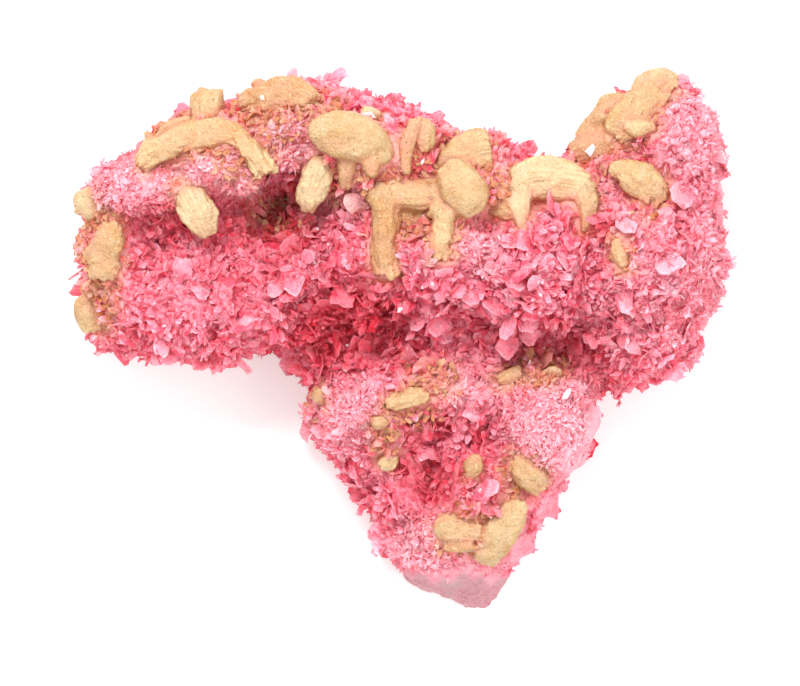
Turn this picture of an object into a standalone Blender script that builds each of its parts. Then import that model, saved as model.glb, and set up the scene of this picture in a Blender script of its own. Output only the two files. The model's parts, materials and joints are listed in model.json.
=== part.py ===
"""A pink axinite specimen with tan stilbite sheaves, lying on its broken back.

One crust of bladed pink crystals, grown together round a massive root, carries
separate clusters of tan sheaf-shaped crystals. Lengths below are millimetres
and are scaled to metres when an object is made. +X runs along the wide bar of
the crust, +Y from the narrow toe to the bar, +Z up from the broken back.
"""

import math
import random

import bmesh
import bpy
from mathutils import Matrix, Vector

MM = 0.001
SEED = 11

# The crust under its blades: centre and half-lengths of each lump.
CRUST_LUMPS = {
    "left_bulge": ((-22.0, 4.6, 9.5), (12.4, 6.2, 11.0)),
    "left_foot": ((-28.0, 3.6, 7.5), (6.8, 5.0, 8.5)),
    "left_end": ((-31.0, 9.5, 9.0), (4.0, 7.6, 10.0)),
    "recess_floor": ((-21.0, 12.6, 7.5), (11.0, 5.6, 9.6)),
    "left_ledge": ((-27.0, 16.6, 14.0), (6.6, 3.6, 9.5)),
    "ledge_nose": ((-18.6, 18.8, 17.0), (6.4, 2.8, 7.5)),
    "left_top": ((-20.0, 20.4, 12.0), (7.6, 4.6, 11.0)),
    "crest": ((-10.5, 22.4, 12.5), (9.0, 5.6, 12.0)),
    "mid_wall": ((-9.5, 7.8, 8.0), (9.0, 8.6, 11.5)),
    "mid_top": ((-2.5, 20.0, 13.0), (8.4, 6.0, 12.5)),
    "centre_left": ((-3.5, 9.0, 9.0), (7.0, 8.0, 13.5)),
    "centre": ((4.0, 9.5, 10.5), (8.0, 7.6, 15.0)),
    "centre_top": ((7.5, 16.8, 11.5), (7.8, 5.6, 13.0)),
    "centre_right": ((14.5, 8.5, 11.0), (8.0, 7.8, 15.5)),
    "right_saddle": ((18.0, 14.8, 10.0), (5.4, 4.8, 12.0)),
    "right_main": ((25.6, 9.4, 11.0), (8.2, 8.4, 15.0)),
    "right_foot": ((26.0, 1.0, 9.0), (6.4, 5.0, 11.0)),
    "right_edge": ((31.2, 10.5, 10.0), (3.6, 8.0, 11.5)),
    "horn": ((29.8, 20.4, 11.0), (4.8, 7.0, 12.5)),
    "horn_root": ((23.4, 18.0, 10.0), (4.6, 4.8, 10.5)),
    "horn_shoulder": ((25.3, 23.0, 10.0), (3.8, 3.6, 9.5)),
    "neck": ((16.0, -2.4, 5.5), (8.0, 4.0, 9.0)),
    "stem_shoulder": ((5.5, -5.6, 7.5), (12.5, 5.0, 10.0)),
    "stem_left": ((-3.8, -7.4, 7.5), (6.0, 7.2, 11.0)),
    "stem_right": ((15.6, -8.6, 9.0), (5.6, 7.2, 12.0)),
    "stem_middle": ((6.8, -15.4, 6.5), (10.8, 7.0, 10.0)),
    "stem_low": ((6.4, -21.2, 5.5), (8.4, 5.0, 8.0)),
    "toe": ((6.2, -24.8, 3.4), (6.6, 3.4, 4.8)),
    "toe_tip": ((8.2, -27.8, 2.0), (2.8, 2.2, 3.0)),
    "root_bar": ((0.0, 8.8, 1.5), (33.5, 10.0, 5.0)),
    "root_stem": ((6.5, -11.0, 1.5), (12.0, 16.0, 5.0)),
    "root_crest": ((-10.0, 19.0, 1.5), (15.0, 6.0, 5.0)),
    "root_horn": ((27.0, 18.0, 1.5), (7.0, 8.0, 5.0)),
    "armpit": ((-5.0, -1.2, 6.0), (6.4, 3.6, 9.0)),
    "bar_root": ((5.0, 0.2, 8.0), (10.5, 3.8, 7.8)),
}

# Hollows between the lumps: centre and half-lengths of each.
CRUST_HOLLOWS = {
    "under_ledge": ((-25.0, 12.8, 23.0), (6.0, 1.3, 6.6)),
    "behind_blade": ((-19.6, 14.4, 23.0), (4.0, 1.8, 7.4)),
    "vug": ((-13.9, 14.2, 21.0), (3.7, 3.7, 9.2)),
    "below_bar": ((17.4, -1.5, 23.0), (6.0, 1.5, 9.4)),
    "below_centre": ((5.5, -1.4, 23.6), (8.5, 1.3, 8.4)),
    "bar_corner": ((-4.5, 0.2, 22.0), (6.0, 1.8, 6.0)),
    "stem_valley": ((3.4, -14.4, 19.5), (2.4, 5.2, 7.5)),
}

LUMP_SUBDIVISIONS = 3
MOUND_SUBDIVISIONS = 2
MERGE_VOXEL = 0.8
HOLLOW_VOXEL = 0.5
SMOOTH_FACTOR = 0.5
SMOOTH_STEPS = 3
HOLLOW_SMOOTH_STEPS = 1
MOUND_SMOOTH_STEPS = 2
CORE_TRIANGLES = 1180
POINT_TRIES = 6000
FLOOR_SIZE = (200.0, 200.0, 40.0)

# Rosettes: mounds where blades radiate from one point.
MOUND_SPACING = 4.6
MOUND_RADIUS = (1.7, 2.7)
MOUND_LOWEST = 3.0
MOUND_SUNK = 0.45
MOUND_STEEPEST = -0.5

# One wedge-shaped blade, as shares of its width, height and thickness.
BLADE_OUTLINE = ((-0.2, -0.6), (0.24, -0.6), (0.5, 0.08), (0.2, 0.5), (-0.3, 0.42), (-0.5, -0.04))
BLADE_RIDGE = ((0.0, -0.4), (-0.04, 0.14))
BLADE_SPACING = 6.4
BLADE_WIDTH = (3.4, 5.0)
BLADE_HEIGHT = (3.4, 4.4)
BLADE_THICKNESS = (0.9, 1.5)
BLADE_LEAN = math.radians(38)
BLADE_LOWEST = 1.6
BLADE_STEEPEST = -0.6
TOE_LIMIT_Y = -23.0

# Across a sheaf: shares of its width and thickness at each corner of a section.
SHEAF_SECTION = ((0.5, 0.0), (0.3, 0.5), (-0.3, 0.5), (-0.5, 0.0), (-0.3, -0.5), (0.3, -0.5))

# The separate tan pieces. Each is one or more bodies grown together, and each body is a row of
# stations along its length: x, y, z, width and thickness.
SHEAVES = {
    "arch_left": (
        (
            (-28.2, 18.7, 22.2, 2.0, 1.9),
            (-26.4, 20.2, 21.8, 2.8, 2.5),
            (-23.9, 21.5, 22.0, 2.9, 2.6),
            (-21.2, 22.2, 22.4, 3.1, 2.6),
            (-18.8, 22.4, 22.9, 2.8, 2.5),
            (-17.1, 21.6, 23.1, 2.4, 2.3),
            (-15.9, 20.3, 23.3, 2.2, 2.2),
            (-14.9, 19.0, 23.2, 2.8, 2.1),
            (-14.3, 17.7, 22.7, 3.3, 1.6),
        ),
        ((-26.4, 21.3, 19.4, 1.4, 1.6), (-24.4, 22.8, 20.2, 1.9, 1.8), (-22.2, 23.6, 20.6, 1.9, 1.6)),
    ),
    "tooth_left": (
        ((-26.6, 20.3, 17.6, 2.0, 1.7), (-26.9, 21.4, 17.4, 1.7, 1.4), (-27.5, 22.7, 17.1, 0.8, 0.8)),
    ),
    "lobe_top_left": (
        (
            (-20.9, 23.2, 17.4, 2.6, 2.8),
            (-20.9, 24.6, 17.2, 3.4, 3.2),
            (-20.7, 26.2, 16.9, 3.7, 3.1),
            (-20.4, 27.4, 16.6, 2.9, 2.5),
        ),
    ),
    "sheaf_left_tip": (
        (
            (-35.2, 14.4, 14.0, 1.7, 1.5),
            (-34.3, 14.9, 14.4, 3.2, 2.4),
            (-33.0, 15.0, 14.9, 3.8, 2.7),
            (-31.8, 14.6, 15.4, 2.6, 2.3),
        ),
    ),
    "plates_left_edge": (
        (
            (-31.0, 13.2, 18.5, 2.0, 1.8),
            (-31.3, 11.2, 18.8, 3.2, 2.2),
            (-31.8, 9.0, 18.3, 3.4, 2.3),
            (-32.2, 6.8, 17.6, 2.8, 2.0),
        ),
        ((-33.6, 10.4, 16.7, 1.8, 1.6), (-32.4, 9.2, 17.7, 2.4, 1.8), (-30.6, 8.0, 18.1, 2.0, 1.6)),
    ),
    "plate_left_corner": (
        ((-34.5, 5.4, 12.4, 2.0, 1.7), (-34.1, 3.6, 12.1, 3.4, 2.3), (-33.5, 1.5, 11.3, 2.7, 1.9)),
    ),
    "blade_lone_left": (
        (
            (-23.2, 17.2, 21.2, 2.1, 1.5),
            (-22.6, 15.7, 21.2, 3.5, 1.8),
            (-21.6, 13.8, 20.8, 3.9, 1.9),
            (-20.9, 12.2, 20.3, 2.9, 1.6),
            (-20.6, 11.5, 20.0, 2.0, 1.2),
        ),
    ),
    "blade_lone_middle": (
        (
            (-8.0, 20.0, 22.4, 2.0, 1.6),
            (-8.5, 18.8, 22.2, 3.1, 2.0),
            (-9.3, 16.9, 21.7, 3.3, 2.2),
            (-9.9, 15.2, 21.0, 2.6, 1.8),
            (-10.2, 14.2, 20.4, 1.6, 1.2),
        ),
    ),
    "blade_lone_right": (
        (
            (22.4, 17.9, 21.2, 1.2, 1.2),
            (23.4, 18.3, 21.6, 2.7, 1.9),
            (25.2, 17.5, 21.8, 3.8, 2.3),
            (27.0, 16.2, 21.5, 3.3, 2.1),
            (28.2, 15.2, 21.0, 1.8, 1.4),
        ),
    ),
    "sheaf_crest": (
        (
            (-17.4, 25.4, 19.4, 1.8, 1.6),
            (-15.8, 25.9, 20.4, 2.6, 2.2),
            (-14.0, 26.3, 21.1, 3.5, 2.8),
            (-12.2, 26.6, 21.6, 3.8, 3.1),
            (-10.4, 26.2, 22.2, 3.1, 2.8),
            (-9.2, 25.4, 22.6, 2.2, 2.2),
        ),
        ((-15.5, 27.2, 19.8, 1.4, 1.3), (-14.9, 28.2, 19.4, 1.3, 1.0)),
    ),
    "lobe_ridge": (
        (
            (-9.0, 21.4, 24.4, 2.6, 2.4),
            (-8.0, 22.0, 24.8, 4.4, 3.6),
            (-5.8, 22.0, 25.1, 5.2, 4.0),
            (-3.8, 21.3, 25.0, 4.8, 3.9),
            (-2.4, 20.3, 24.6, 3.4, 3.2),
            (-1.6, 19.4, 24.2, 2.2, 2.4),
        ),
        ((-5.5, 20.6, 24.6, 1.6, 1.8), (-5.7, 18.4, 24.0, 2.0, 1.9), (-5.9, 16.4, 23.3, 0.9, 1.0)),
        ((-3.4, 20.2, 25.0, 1.7, 1.9), (-3.2, 18.8, 25.5, 2.1, 1.7), (-3.1, 17.5, 25.6, 1.2, 1.0)),
    ),
    "tooth_ridge": (
        ((-4.1, 24.8, 22.2, 1.0, 0.9), (-3.2, 24.5, 22.1, 1.5, 1.2), (-2.2, 24.1, 21.9, 1.3, 1.0)),
    ),
    "spear_ridge": (
        (
            (0.6, 18.0, 24.0, 0.8, 0.9),
            (0.5, 19.4, 24.3, 1.3, 1.3),
            (0.7, 21.2, 24.4, 1.6, 1.3),
            (1.4, 22.9, 24.1, 1.3, 1.2),
            (2.1, 24.0, 23.6, 0.7, 0.7),
        ),
        (
            (2.4, 20.1, 22.8, 1.4, 1.6),
            (2.3, 21.4, 22.9, 2.3, 2.3),
            (2.1, 22.8, 22.8, 2.9, 2.5),
            (1.8, 24.0, 22.6, 2.0, 1.8),
        ),
    ),
    "cluster_centre": (
        (
            (3.4, 17.8, 21.9, 1.8, 2.0),
            (4.9, 18.9, 22.0, 3.0, 2.6),
            (6.6, 20.0, 22.1, 4.2, 3.0),
            (8.4, 20.6, 22.2, 4.6, 3.0),
            (9.4, 20.7, 22.2, 3.7, 2.4),
        ),
        (
            (4.6, 18.6, 24.4, 2.6, 2.6),
            (5.6, 17.7, 24.8, 4.4, 3.8),
            (6.6, 16.4, 24.9, 5.2, 4.2),
            (7.3, 14.9, 24.7, 4.4, 3.8),
            (7.7, 13.8, 24.3, 2.8, 2.8),
        ),
        ((5.4, 14.8, 24.2, 3.2, 2.6), (4.2, 13.9, 24.2, 2.9, 2.4), (3.2, 13.3, 23.8, 1.8, 1.6)),
        (
            (4.6, 14.0, 24.7, 2.6, 2.2),
            (4.4, 12.2, 24.9, 2.5, 2.2),
            (4.2, 10.4, 24.8, 2.4, 2.2),
            (4.0, 8.9, 24.5, 2.2, 1.9),
        ),
        (
            (-1.0, 17.2, 22.9, 2.6, 2.4),
            (-1.7, 16.0, 22.9, 3.2, 2.9),
            (-1.7, 14.0, 22.8, 3.1, 3.0),
            (-1.6, 11.2, 22.6, 2.9, 2.9),
            (-1.6, 8.8, 22.4, 3.0, 2.7),
            (-1.5, 7.0, 22.0, 3.1, 2.3),
        ),
        (
            (-1.6, 16.6, 22.9, 3.0, 2.6),
            (0.4, 15.9, 23.0, 3.0, 2.7),
            (2.4, 15.8, 23.2, 3.4, 2.7),
            (4.4, 16.2, 23.8, 3.2, 2.8),
        ),
    ),
    "cluster_right": (
        (
            (11.6, 16.8, 21.5, 3.0, 2.4),
            (13.2, 17.3, 21.3, 4.2, 3.0),
            (15.0, 17.6, 21.1, 4.9, 3.3),
            (16.8, 17.3, 20.9, 4.6, 3.1),
            (18.6, 17.0, 21.0, 3.9, 2.6),
            (20.2, 16.7, 21.1, 2.8, 2.3),
        ),
        (
            (13.2, 11.9, 22.5, 1.1, 1.4),
            (12.8, 13.4, 22.3, 1.9, 1.8),
            (12.6, 15.2, 22.0, 2.8, 2.2),
            (12.9, 16.8, 21.6, 3.2, 2.5),
        ),
        (
            (19.4, 16.9, 21.2, 2.8, 2.3),
            (19.8, 15.4, 21.4, 2.6, 2.3),
            (19.9, 13.8, 21.6, 2.1, 2.1),
            (19.9, 11.8, 21.7, 1.3, 1.8),
        ),
        (
            (8.9, 16.6, 20.9, 2.4, 2.0),
            (10.0, 15.4, 21.3, 3.3, 2.4),
            (11.2, 14.5, 21.6, 2.9, 2.2),
            (12.4, 14.2, 21.7, 1.7, 1.5),
        ),
    ),
    "cluster_horn": (
        (
            (18.6, 20.2, 16.4, 2.6, 2.4),
            (20.2, 20.9, 16.9, 3.7, 3.2),
            (22.0, 21.5, 17.3, 3.5, 3.1),
            (23.4, 22.6, 17.9, 2.4, 2.4),
        ),
        ((19.6, 21.9, 16.0, 2.0, 1.8), (21.0, 23.2, 16.5, 3.3, 2.5), (22.8, 23.9, 17.3, 3.3, 2.7)),
        ((21.5, 24.6, 16.3, 1.8, 1.7), (22.3, 25.6, 16.6, 2.7, 2.1), (23.8, 25.7, 17.1, 2.7, 2.4)),
        (
            (22.9, 22.0, 18.6, 2.4, 2.3),
            (23.9, 23.5, 18.8, 4.0, 3.1),
            (25.3, 24.9, 18.5, 4.4, 3.1),
            (26.7, 26.3, 17.9, 3.9, 2.9),
            (27.8, 27.5, 17.5, 3.0, 2.5),
        ),
        ((23.8, 23.4, 20.0, 1.5, 1.4), (25.4, 23.1, 20.1, 2.0, 1.8), (27.2, 23.2, 19.7, 1.5, 1.4)),
        (
            (25.3, 27.0, 16.9, 2.2, 1.9),
            (26.8, 27.8, 17.1, 3.1, 2.5),
            (28.4, 28.1, 17.1, 3.2, 2.4),
            (29.6, 27.5, 16.9, 2.2, 1.9),
        ),
    ),
    "cluster_toe": (
        (
            (12.8, -17.0, 14.5, 2.3, 2.1),
            (12.0, -18.6, 14.8, 3.5, 2.7),
            (10.8, -20.4, 14.7, 3.7, 2.7),
            (9.8, -22.2, 14.0, 3.2, 2.4),
            (9.0, -23.8, 13.0, 2.4, 1.9),
        ),
        (
            (3.9, -20.6, 14.2, 1.8, 1.8),
            (5.0, -20.0, 14.6, 3.2, 2.5),
            (6.6, -20.2, 14.6, 3.0, 2.3),
            (8.6, -20.4, 14.5, 2.4, 2.1),
        ),
        ((4.6, -21.8, 13.8, 1.6, 1.6), (6.2, -21.7, 14.2, 2.2, 1.9), (8.0, -21.6, 14.2, 2.0, 1.8)),
    ),
    "sheaf_stem_upper": (
        (
            (-1.6, -6.8, 16.9, 1.3, 1.2),
            (-0.2, -6.3, 17.1, 2.0, 1.6),
            (1.4, -5.9, 17.0, 2.4, 1.7),
            (2.9, -5.3, 16.7, 1.7, 1.4),
        ),
    ),
    "knob_stem_left": (
        ((-3.2, -8.7, 17.8, 1.0, 1.0), (-2.3, -8.6, 18.0, 1.8, 1.5), (-1.4, -8.8, 17.7, 1.2, 1.1)),
    ),
    "knob_stem_low_left": (
        ((-2.1, -13.4, 14.9, 1.2, 1.0), (-1.4, -12.9, 15.0, 1.9, 1.5), (-0.5, -12.2, 14.9, 1.2, 1.1)),
    ),
    "knob_stem_edge": (
        ((-8.6, -6.8, 14.2, 1.1, 1.1), (-8.7, -5.8, 14.5, 1.7, 1.5), (-8.8, -4.8, 14.5, 1.1, 1.0)),
    ),
    "sheaf_stem_right": (
        (
            (11.9, -12.6, 16.4, 2.0, 1.6),
            (13.2, -13.4, 16.6, 3.2, 2.4),
            (14.6, -14.8, 16.2, 3.1, 2.2),
            (15.5, -15.7, 15.7, 1.9, 1.5),
        ),
    ),
    "sheaf_stem_top": (
        ((10.2, -4.1, 15.7, 1.3, 1.2), (11.6, -3.7, 16.0, 1.8, 1.5), (13.2, -3.1, 15.9, 1.4, 1.2)),
    ),
    "knob_stem_top": (
        ((15.0, -3.6, 16.1, 1.2, 1.1), (16.2, -3.3, 16.3, 1.7, 1.4), (17.4, -3.3, 16.1, 1.2, 1.1)),
    ),
    "sheaf_stem_middle": (
        ((7.5, -14.6, 16.6, 1.3, 1.2), (7.8, -13.2, 16.9, 2.0, 1.7), (8.2, -11.9, 16.8, 1.3, 1.2)),
    ),
    "streak_right": (
        ((22.8, 11.1, 25.0, 0.9, 0.9), (23.1, 9.6, 25.1, 1.6, 1.3), (23.6, 8.0, 24.9, 1.0, 1.0)),
    ),
}
SHEAF_GAP = 0.38
BLADE_CLEARANCE = 1.5

AXINITE_PINK = (0.82, 0.27, 0.36)
AXINITE_ROUGHNESS = 0.4
STILBITE_TAN = (0.76, 0.56, 0.31)
STILBITE_ROUGHNESS = 0.35


def clear_scene():
    for obj in list(bpy.data.objects):
        bpy.data.objects.remove(obj)


def object_from(bm, name):
    mesh = bpy.data.meshes.new(name)
    bm.to_mesh(mesh)
    bm.free()
    obj = bpy.data.objects.new(name, mesh)
    bpy.context.scene.collection.objects.link(obj)
    return obj


def add_ellipsoid(bm, centre, half, subdivisions=LUMP_SUBDIVISIONS):
    place = Matrix.Translation(Vector(centre) * MM) @ Matrix.Diagonal((*(Vector(half) * MM), 1.0))
    bmesh.ops.create_icosphere(bm, subdivisions=subdivisions, radius=1.0, matrix=place)


def ellipsoids(name, parts):
    """All the ellipsoids of one table, joined without merging."""
    bm = bmesh.new()
    for centre, half in parts.values():
        add_ellipsoid(bm, centre, half)
    return object_from(bm, name)


def settle(obj):
    """Makes the evaluated mesh the object's own."""
    graph = bpy.context.evaluated_depsgraph_get()
    mesh = bpy.data.meshes.new_from_object(obj.evaluated_get(graph))
    obj.modifiers.clear()
    obj.data = mesh
    return obj


def remesh(obj, voxel, smooth_steps):
    merge = obj.modifiers.new("Merge", "REMESH")
    merge.mode = "VOXEL"
    merge.voxel_size = voxel * MM
    soften = obj.modifiers.new("Soften", "SMOOTH")
    soften.factor = SMOOTH_FACTOR
    soften.iterations = smooth_steps
    return settle(obj)


def boolean(obj, operation, other, self_overlap=False):
    cut = obj.modifiers.new(operation, "BOOLEAN")
    cut.operation = operation
    cut.object = other
    cut.solver = "EXACT"
    cut.use_self = self_overlap
    settle(obj)
    bpy.data.objects.remove(other)
    return obj


def surface_points(obj, spacing, rng, wanted):
    """Points at least spacing apart on the faces that wanted accepts, with their normals."""
    mesh = obj.data
    mesh.calc_loop_triangles()
    triangles = [t for t in mesh.loop_triangles if t.area > 0]
    picked = rng.choices(triangles, weights=[t.area for t in triangles], k=POINT_TRIES)
    found = []
    for triangle in picked:
        a, b, c = (mesh.vertices[i].co for i in triangle.vertices)
        u, v = rng.random(), rng.random()
        if u + v > 1:
            u, v = 1 - u, 1 - v
        point = a + (b - a) * u + (c - a) * v
        normal = triangle.normal.copy()
        if not wanted(point, normal):
            continue
        if all((point - other).length > spacing * MM for other, _ in found):
            found.append((point, normal))
    return found


def crust_core():
    core = remesh(ellipsoids("crust", CRUST_LUMPS), MERGE_VOXEL, SMOOTH_STEPS)
    hollows = remesh(ellipsoids("hollows", CRUST_HOLLOWS), HOLLOW_VOXEL, HOLLOW_SMOOTH_STEPS)
    boolean(core, "DIFFERENCE", hollows)
    return remesh(core, MERGE_VOXEL, SMOOTH_STEPS)


def add_mounds(core, rng):
    """Adds a low round mound for each rosette, then thins the mesh."""

    def bears_rosettes(point, normal):
        return point.z > MOUND_LOWEST * MM and normal.z > MOUND_STEEPEST and point.y > TOE_LIMIT_Y * MM

    bm = bmesh.new()
    bm.from_mesh(core.data)
    for point, normal in surface_points(core, MOUND_SPACING, rng, bears_rosettes):
        radius = rng.uniform(*MOUND_RADIUS)
        centre = point / MM - normal * radius * MOUND_SUNK
        add_ellipsoid(bm, centre, (radius, radius, radius), MOUND_SUBDIVISIONS)
    bm.to_mesh(core.data)
    bm.free()
    remesh(core, MERGE_VOXEL, MOUND_SMOOTH_STEPS)
    thin = core.modifiers.new("Thin", "DECIMATE")
    thin.ratio = CORE_TRIANGLES / triangle_count(core)
    return settle(core)


def triangle_count(obj):
    obj.data.calc_loop_triangles()
    return len(obj.data.loop_triangles)


def add_blade(bm, point, out, width, height, thickness, turn):
    """One wedge-shaped blade with its root at point, pointing along out."""
    across = out.orthogonal().normalized()
    across.rotate(Matrix.Rotation(turn, 3, out))
    side = out.cross(across)

    def place(u, v, w):
        return bm.verts.new(point + (across * u * width + out * v * height + side * w * thickness) * MM)

    rim = [place(u, v, 0.0) for u, v in BLADE_OUTLINE]
    for face_side in (0.5, -0.5):
        low, high = (place(u, v, face_side) for u, v in BLADE_RIDGE)
        fan = ((0, 1, low), (1, 2, low), (2, 3, high), (3, 4, high), (4, 5, high), (5, 0, low))
        bridges = ((2, low, high), (5, high, low))
        for start, end, apex in fan:
            bm.faces.new((rim[start], rim[end], apex))
        for corner, first, second in bridges:
            bm.faces.new((rim[corner], second, first))


def sheaf_frames(body):
    """For each station of a body: its middle, and the directions along, across and up."""
    middles = [Vector(station[:3]) for station in body]
    frames = []
    for i, middle in enumerate(middles):
        along = (middles[min(i + 1, len(middles) - 1)] - middles[max(i - 1, 0)]).normalized()
        across = Vector((0.0, 0.0, 1.0)).cross(along).normalized()
        frames.append((middle, along, across, along.cross(across)))
    return frames


def add_sheaf(bm, body, swell=0.0):
    """One body as a faceted solid; swell makes each side that much further out."""
    frames = sheaf_frames(body)
    margin = 2 * swell
    rings = []
    for i, (middle, along, across, up) in enumerate(frames):
        width, thickness = body[i][3:]
        end_shift = {0: -swell, len(body) - 1: swell}.get(i, 0.0)
        centre = middle + along * end_shift
        side, rise = across * (width + margin), up * (thickness + margin)
        ring = [bm.verts.new((centre + side * u + rise * w) * MM) for u, w in SHEAF_SECTION]
        rings.append(ring)
    count = len(SHEAF_SECTION)
    for near, far in zip(rings, rings[1:]):
        for i in range(count):
            j = (i + 1) % count
            bm.faces.new((near[i], near[j], far[j], far[i]))
    bm.faces.new(rings[0][::-1])
    bm.faces.new(rings[-1])


def sheaf_piece(name, bodies):
    """The bodies of one piece, grown together."""
    obj = None
    for body in bodies:
        bm = bmesh.new()
        add_sheaf(bm, body)
        bmesh.ops.recalc_face_normals(bm, faces=bm.faces)
        single = object_from(bm, name)
        obj = single if obj is None else boolean(obj, "UNION", single)
    return obj


def sheaf_sockets():
    """Every sheaf, swollen by the gap it keeps to the crust."""
    bm = bmesh.new()
    for bodies in SHEAVES.values():
        for body in bodies:
            add_sheaf(bm, body, SHEAF_GAP)
    bmesh.ops.recalc_face_normals(bm, faces=bm.faces)
    return object_from(bm, "sockets")


def near_sheaf(point, clearance):
    """True if point, in metres, lies within clearance of a station's ring."""
    for bodies in SHEAVES.values():
        for body in bodies:
            for x, y, z, width, _ in body:
                if (point / MM - Vector((x, y, z))).length < width / 2 + clearance:
                    return True
    return False


def blades(core, rng):
    def bears_blades(point, normal):
        if point.z < BLADE_LOWEST * MM or normal.z < BLADE_STEEPEST or point.y < TOE_LIMIT_Y * MM:
            return False
        return not near_sheaf(point, BLADE_CLEARANCE)

    bm = bmesh.new()
    for point, normal in surface_points(core, BLADE_SPACING, rng, bears_blades):
        out = normal.copy()
        lean_axis = normal.orthogonal().normalized()
        lean_axis.rotate(Matrix.Rotation(rng.uniform(0, math.tau), 3, normal))
        out.rotate(Matrix.Rotation(rng.uniform(0, BLADE_LEAN), 3, lean_axis))
        add_blade(
            bm,
            point,
            out,
            rng.uniform(*BLADE_WIDTH),
            rng.uniform(*BLADE_HEIGHT),
            rng.uniform(*BLADE_THICKNESS),
            rng.uniform(0, math.tau),
        )
    bmesh.ops.recalc_face_normals(bm, faces=bm.faces)
    return object_from(bm, "blades")


def floor_cutter():
    size = Vector(FLOOR_SIZE) * MM
    place = Matrix.Translation((0.0, 0.0, -size.z / 2)) @ Matrix.Diagonal((*size, 1.0))
    bm = bmesh.new()
    bmesh.ops.create_cube(bm, size=1.0, matrix=place)
    return object_from(bm, "floor_cutter")


def crust_piece():
    """The one pink piece: rosettes and blades grown together, hollowed under each sheaf."""
    rng = random.Random(SEED)
    crust = add_mounds(crust_core(), rng)
    boolean(crust, "UNION", blades(crust, rng), self_overlap=True)
    boolean(crust, "DIFFERENCE", floor_cutter())
    return boolean(crust, "DIFFERENCE", sheaf_sockets(), self_overlap=True)


def mineral(name, colour, roughness):
    material = bpy.data.materials.new(name)
    material.use_nodes = True
    shader = material.node_tree.nodes["Principled BSDF"]
    shader.inputs["Base Color"].default_value = (*colour, 1.0)
    shader.inputs["Roughness"].default_value = roughness
    shader.inputs["Metallic"].default_value = 0.0
    return material


def centre_on_base(pieces):
    """Moves every piece so that the middle of their shared base is at the origin."""
    corners = [vert.co for piece in pieces for vert in piece.data.vertices]
    low = Vector(min(corner[i] for corner in corners) for i in range(3))
    high = Vector(max(corner[i] for corner in corners) for i in range(3))
    shift = Vector((-(low.x + high.x) / 2, -(low.y + high.y) / 2, -low.z))
    for piece in pieces:
        piece.data.transform(Matrix.Translation(shift))


def main():
    clear_scene()
    crust = crust_piece()
    crust.data.materials.append(mineral("axinite", AXINITE_PINK, AXINITE_ROUGHNESS))
    tan = mineral("stilbite", STILBITE_TAN, STILBITE_ROUGHNESS)
    pieces = [crust]
    for name, bodies in SHEAVES.items():
        piece = sheaf_piece(name, bodies)
        piece.data.materials.append(tan)
        pieces.append(piece)
    centre_on_base(pieces)


main()
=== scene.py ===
"""Looks of a pink axinite specimen with tan stilbite sheaves, as a Blender add-on run as a script.

Lengths in the tables are millimetres. Places are given on the specimen's own plan, whose
zero is PLAN_ZERO in the model's frame: +X along the wide bar, +Y away from the toe, +Z up.
"""

import json
import math
import random

import bmesh
import bpy
import numpy as np
from bpy.props import FloatProperty, FloatVectorProperty, IntProperty, PointerProperty
from mathutils import Matrix, Vector, noise
from mathutils.bvhtree import BVHTree

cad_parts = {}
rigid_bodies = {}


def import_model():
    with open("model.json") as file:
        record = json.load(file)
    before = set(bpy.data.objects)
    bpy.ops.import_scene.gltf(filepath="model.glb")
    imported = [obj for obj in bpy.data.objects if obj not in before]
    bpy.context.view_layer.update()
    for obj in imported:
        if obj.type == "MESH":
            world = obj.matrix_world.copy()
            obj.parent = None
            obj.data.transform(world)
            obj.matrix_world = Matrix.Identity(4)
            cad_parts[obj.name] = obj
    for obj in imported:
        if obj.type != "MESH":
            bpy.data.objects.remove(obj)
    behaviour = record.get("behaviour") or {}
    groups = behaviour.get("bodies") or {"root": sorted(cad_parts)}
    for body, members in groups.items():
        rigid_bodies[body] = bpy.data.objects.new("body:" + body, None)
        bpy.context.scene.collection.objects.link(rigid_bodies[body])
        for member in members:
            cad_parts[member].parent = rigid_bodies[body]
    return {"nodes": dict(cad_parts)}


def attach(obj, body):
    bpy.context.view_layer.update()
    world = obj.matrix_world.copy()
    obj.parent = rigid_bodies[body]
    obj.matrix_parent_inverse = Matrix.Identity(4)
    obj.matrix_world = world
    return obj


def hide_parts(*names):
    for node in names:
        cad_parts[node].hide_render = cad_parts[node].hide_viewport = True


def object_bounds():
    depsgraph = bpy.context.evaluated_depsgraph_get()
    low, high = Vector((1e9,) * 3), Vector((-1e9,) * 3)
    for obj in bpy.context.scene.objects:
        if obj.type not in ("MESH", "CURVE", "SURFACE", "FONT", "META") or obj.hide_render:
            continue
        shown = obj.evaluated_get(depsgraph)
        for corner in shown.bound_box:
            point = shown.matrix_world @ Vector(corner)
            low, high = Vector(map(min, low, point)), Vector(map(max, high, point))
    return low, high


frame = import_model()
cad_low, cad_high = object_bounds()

bl_info = {
    "name": "Axinite specimen",
    "version": (1, 0, 0),
    "blender": (4, 5, 0),
    "location": "View3D > Sidebar > Specimen",
    "description": "Builds a crust of pink axinite blades with tan stilbite sheaves",
    "category": "Object",
}

MM = 0.001
PLAN_ZERO = (-0.06, -0.06)

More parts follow.
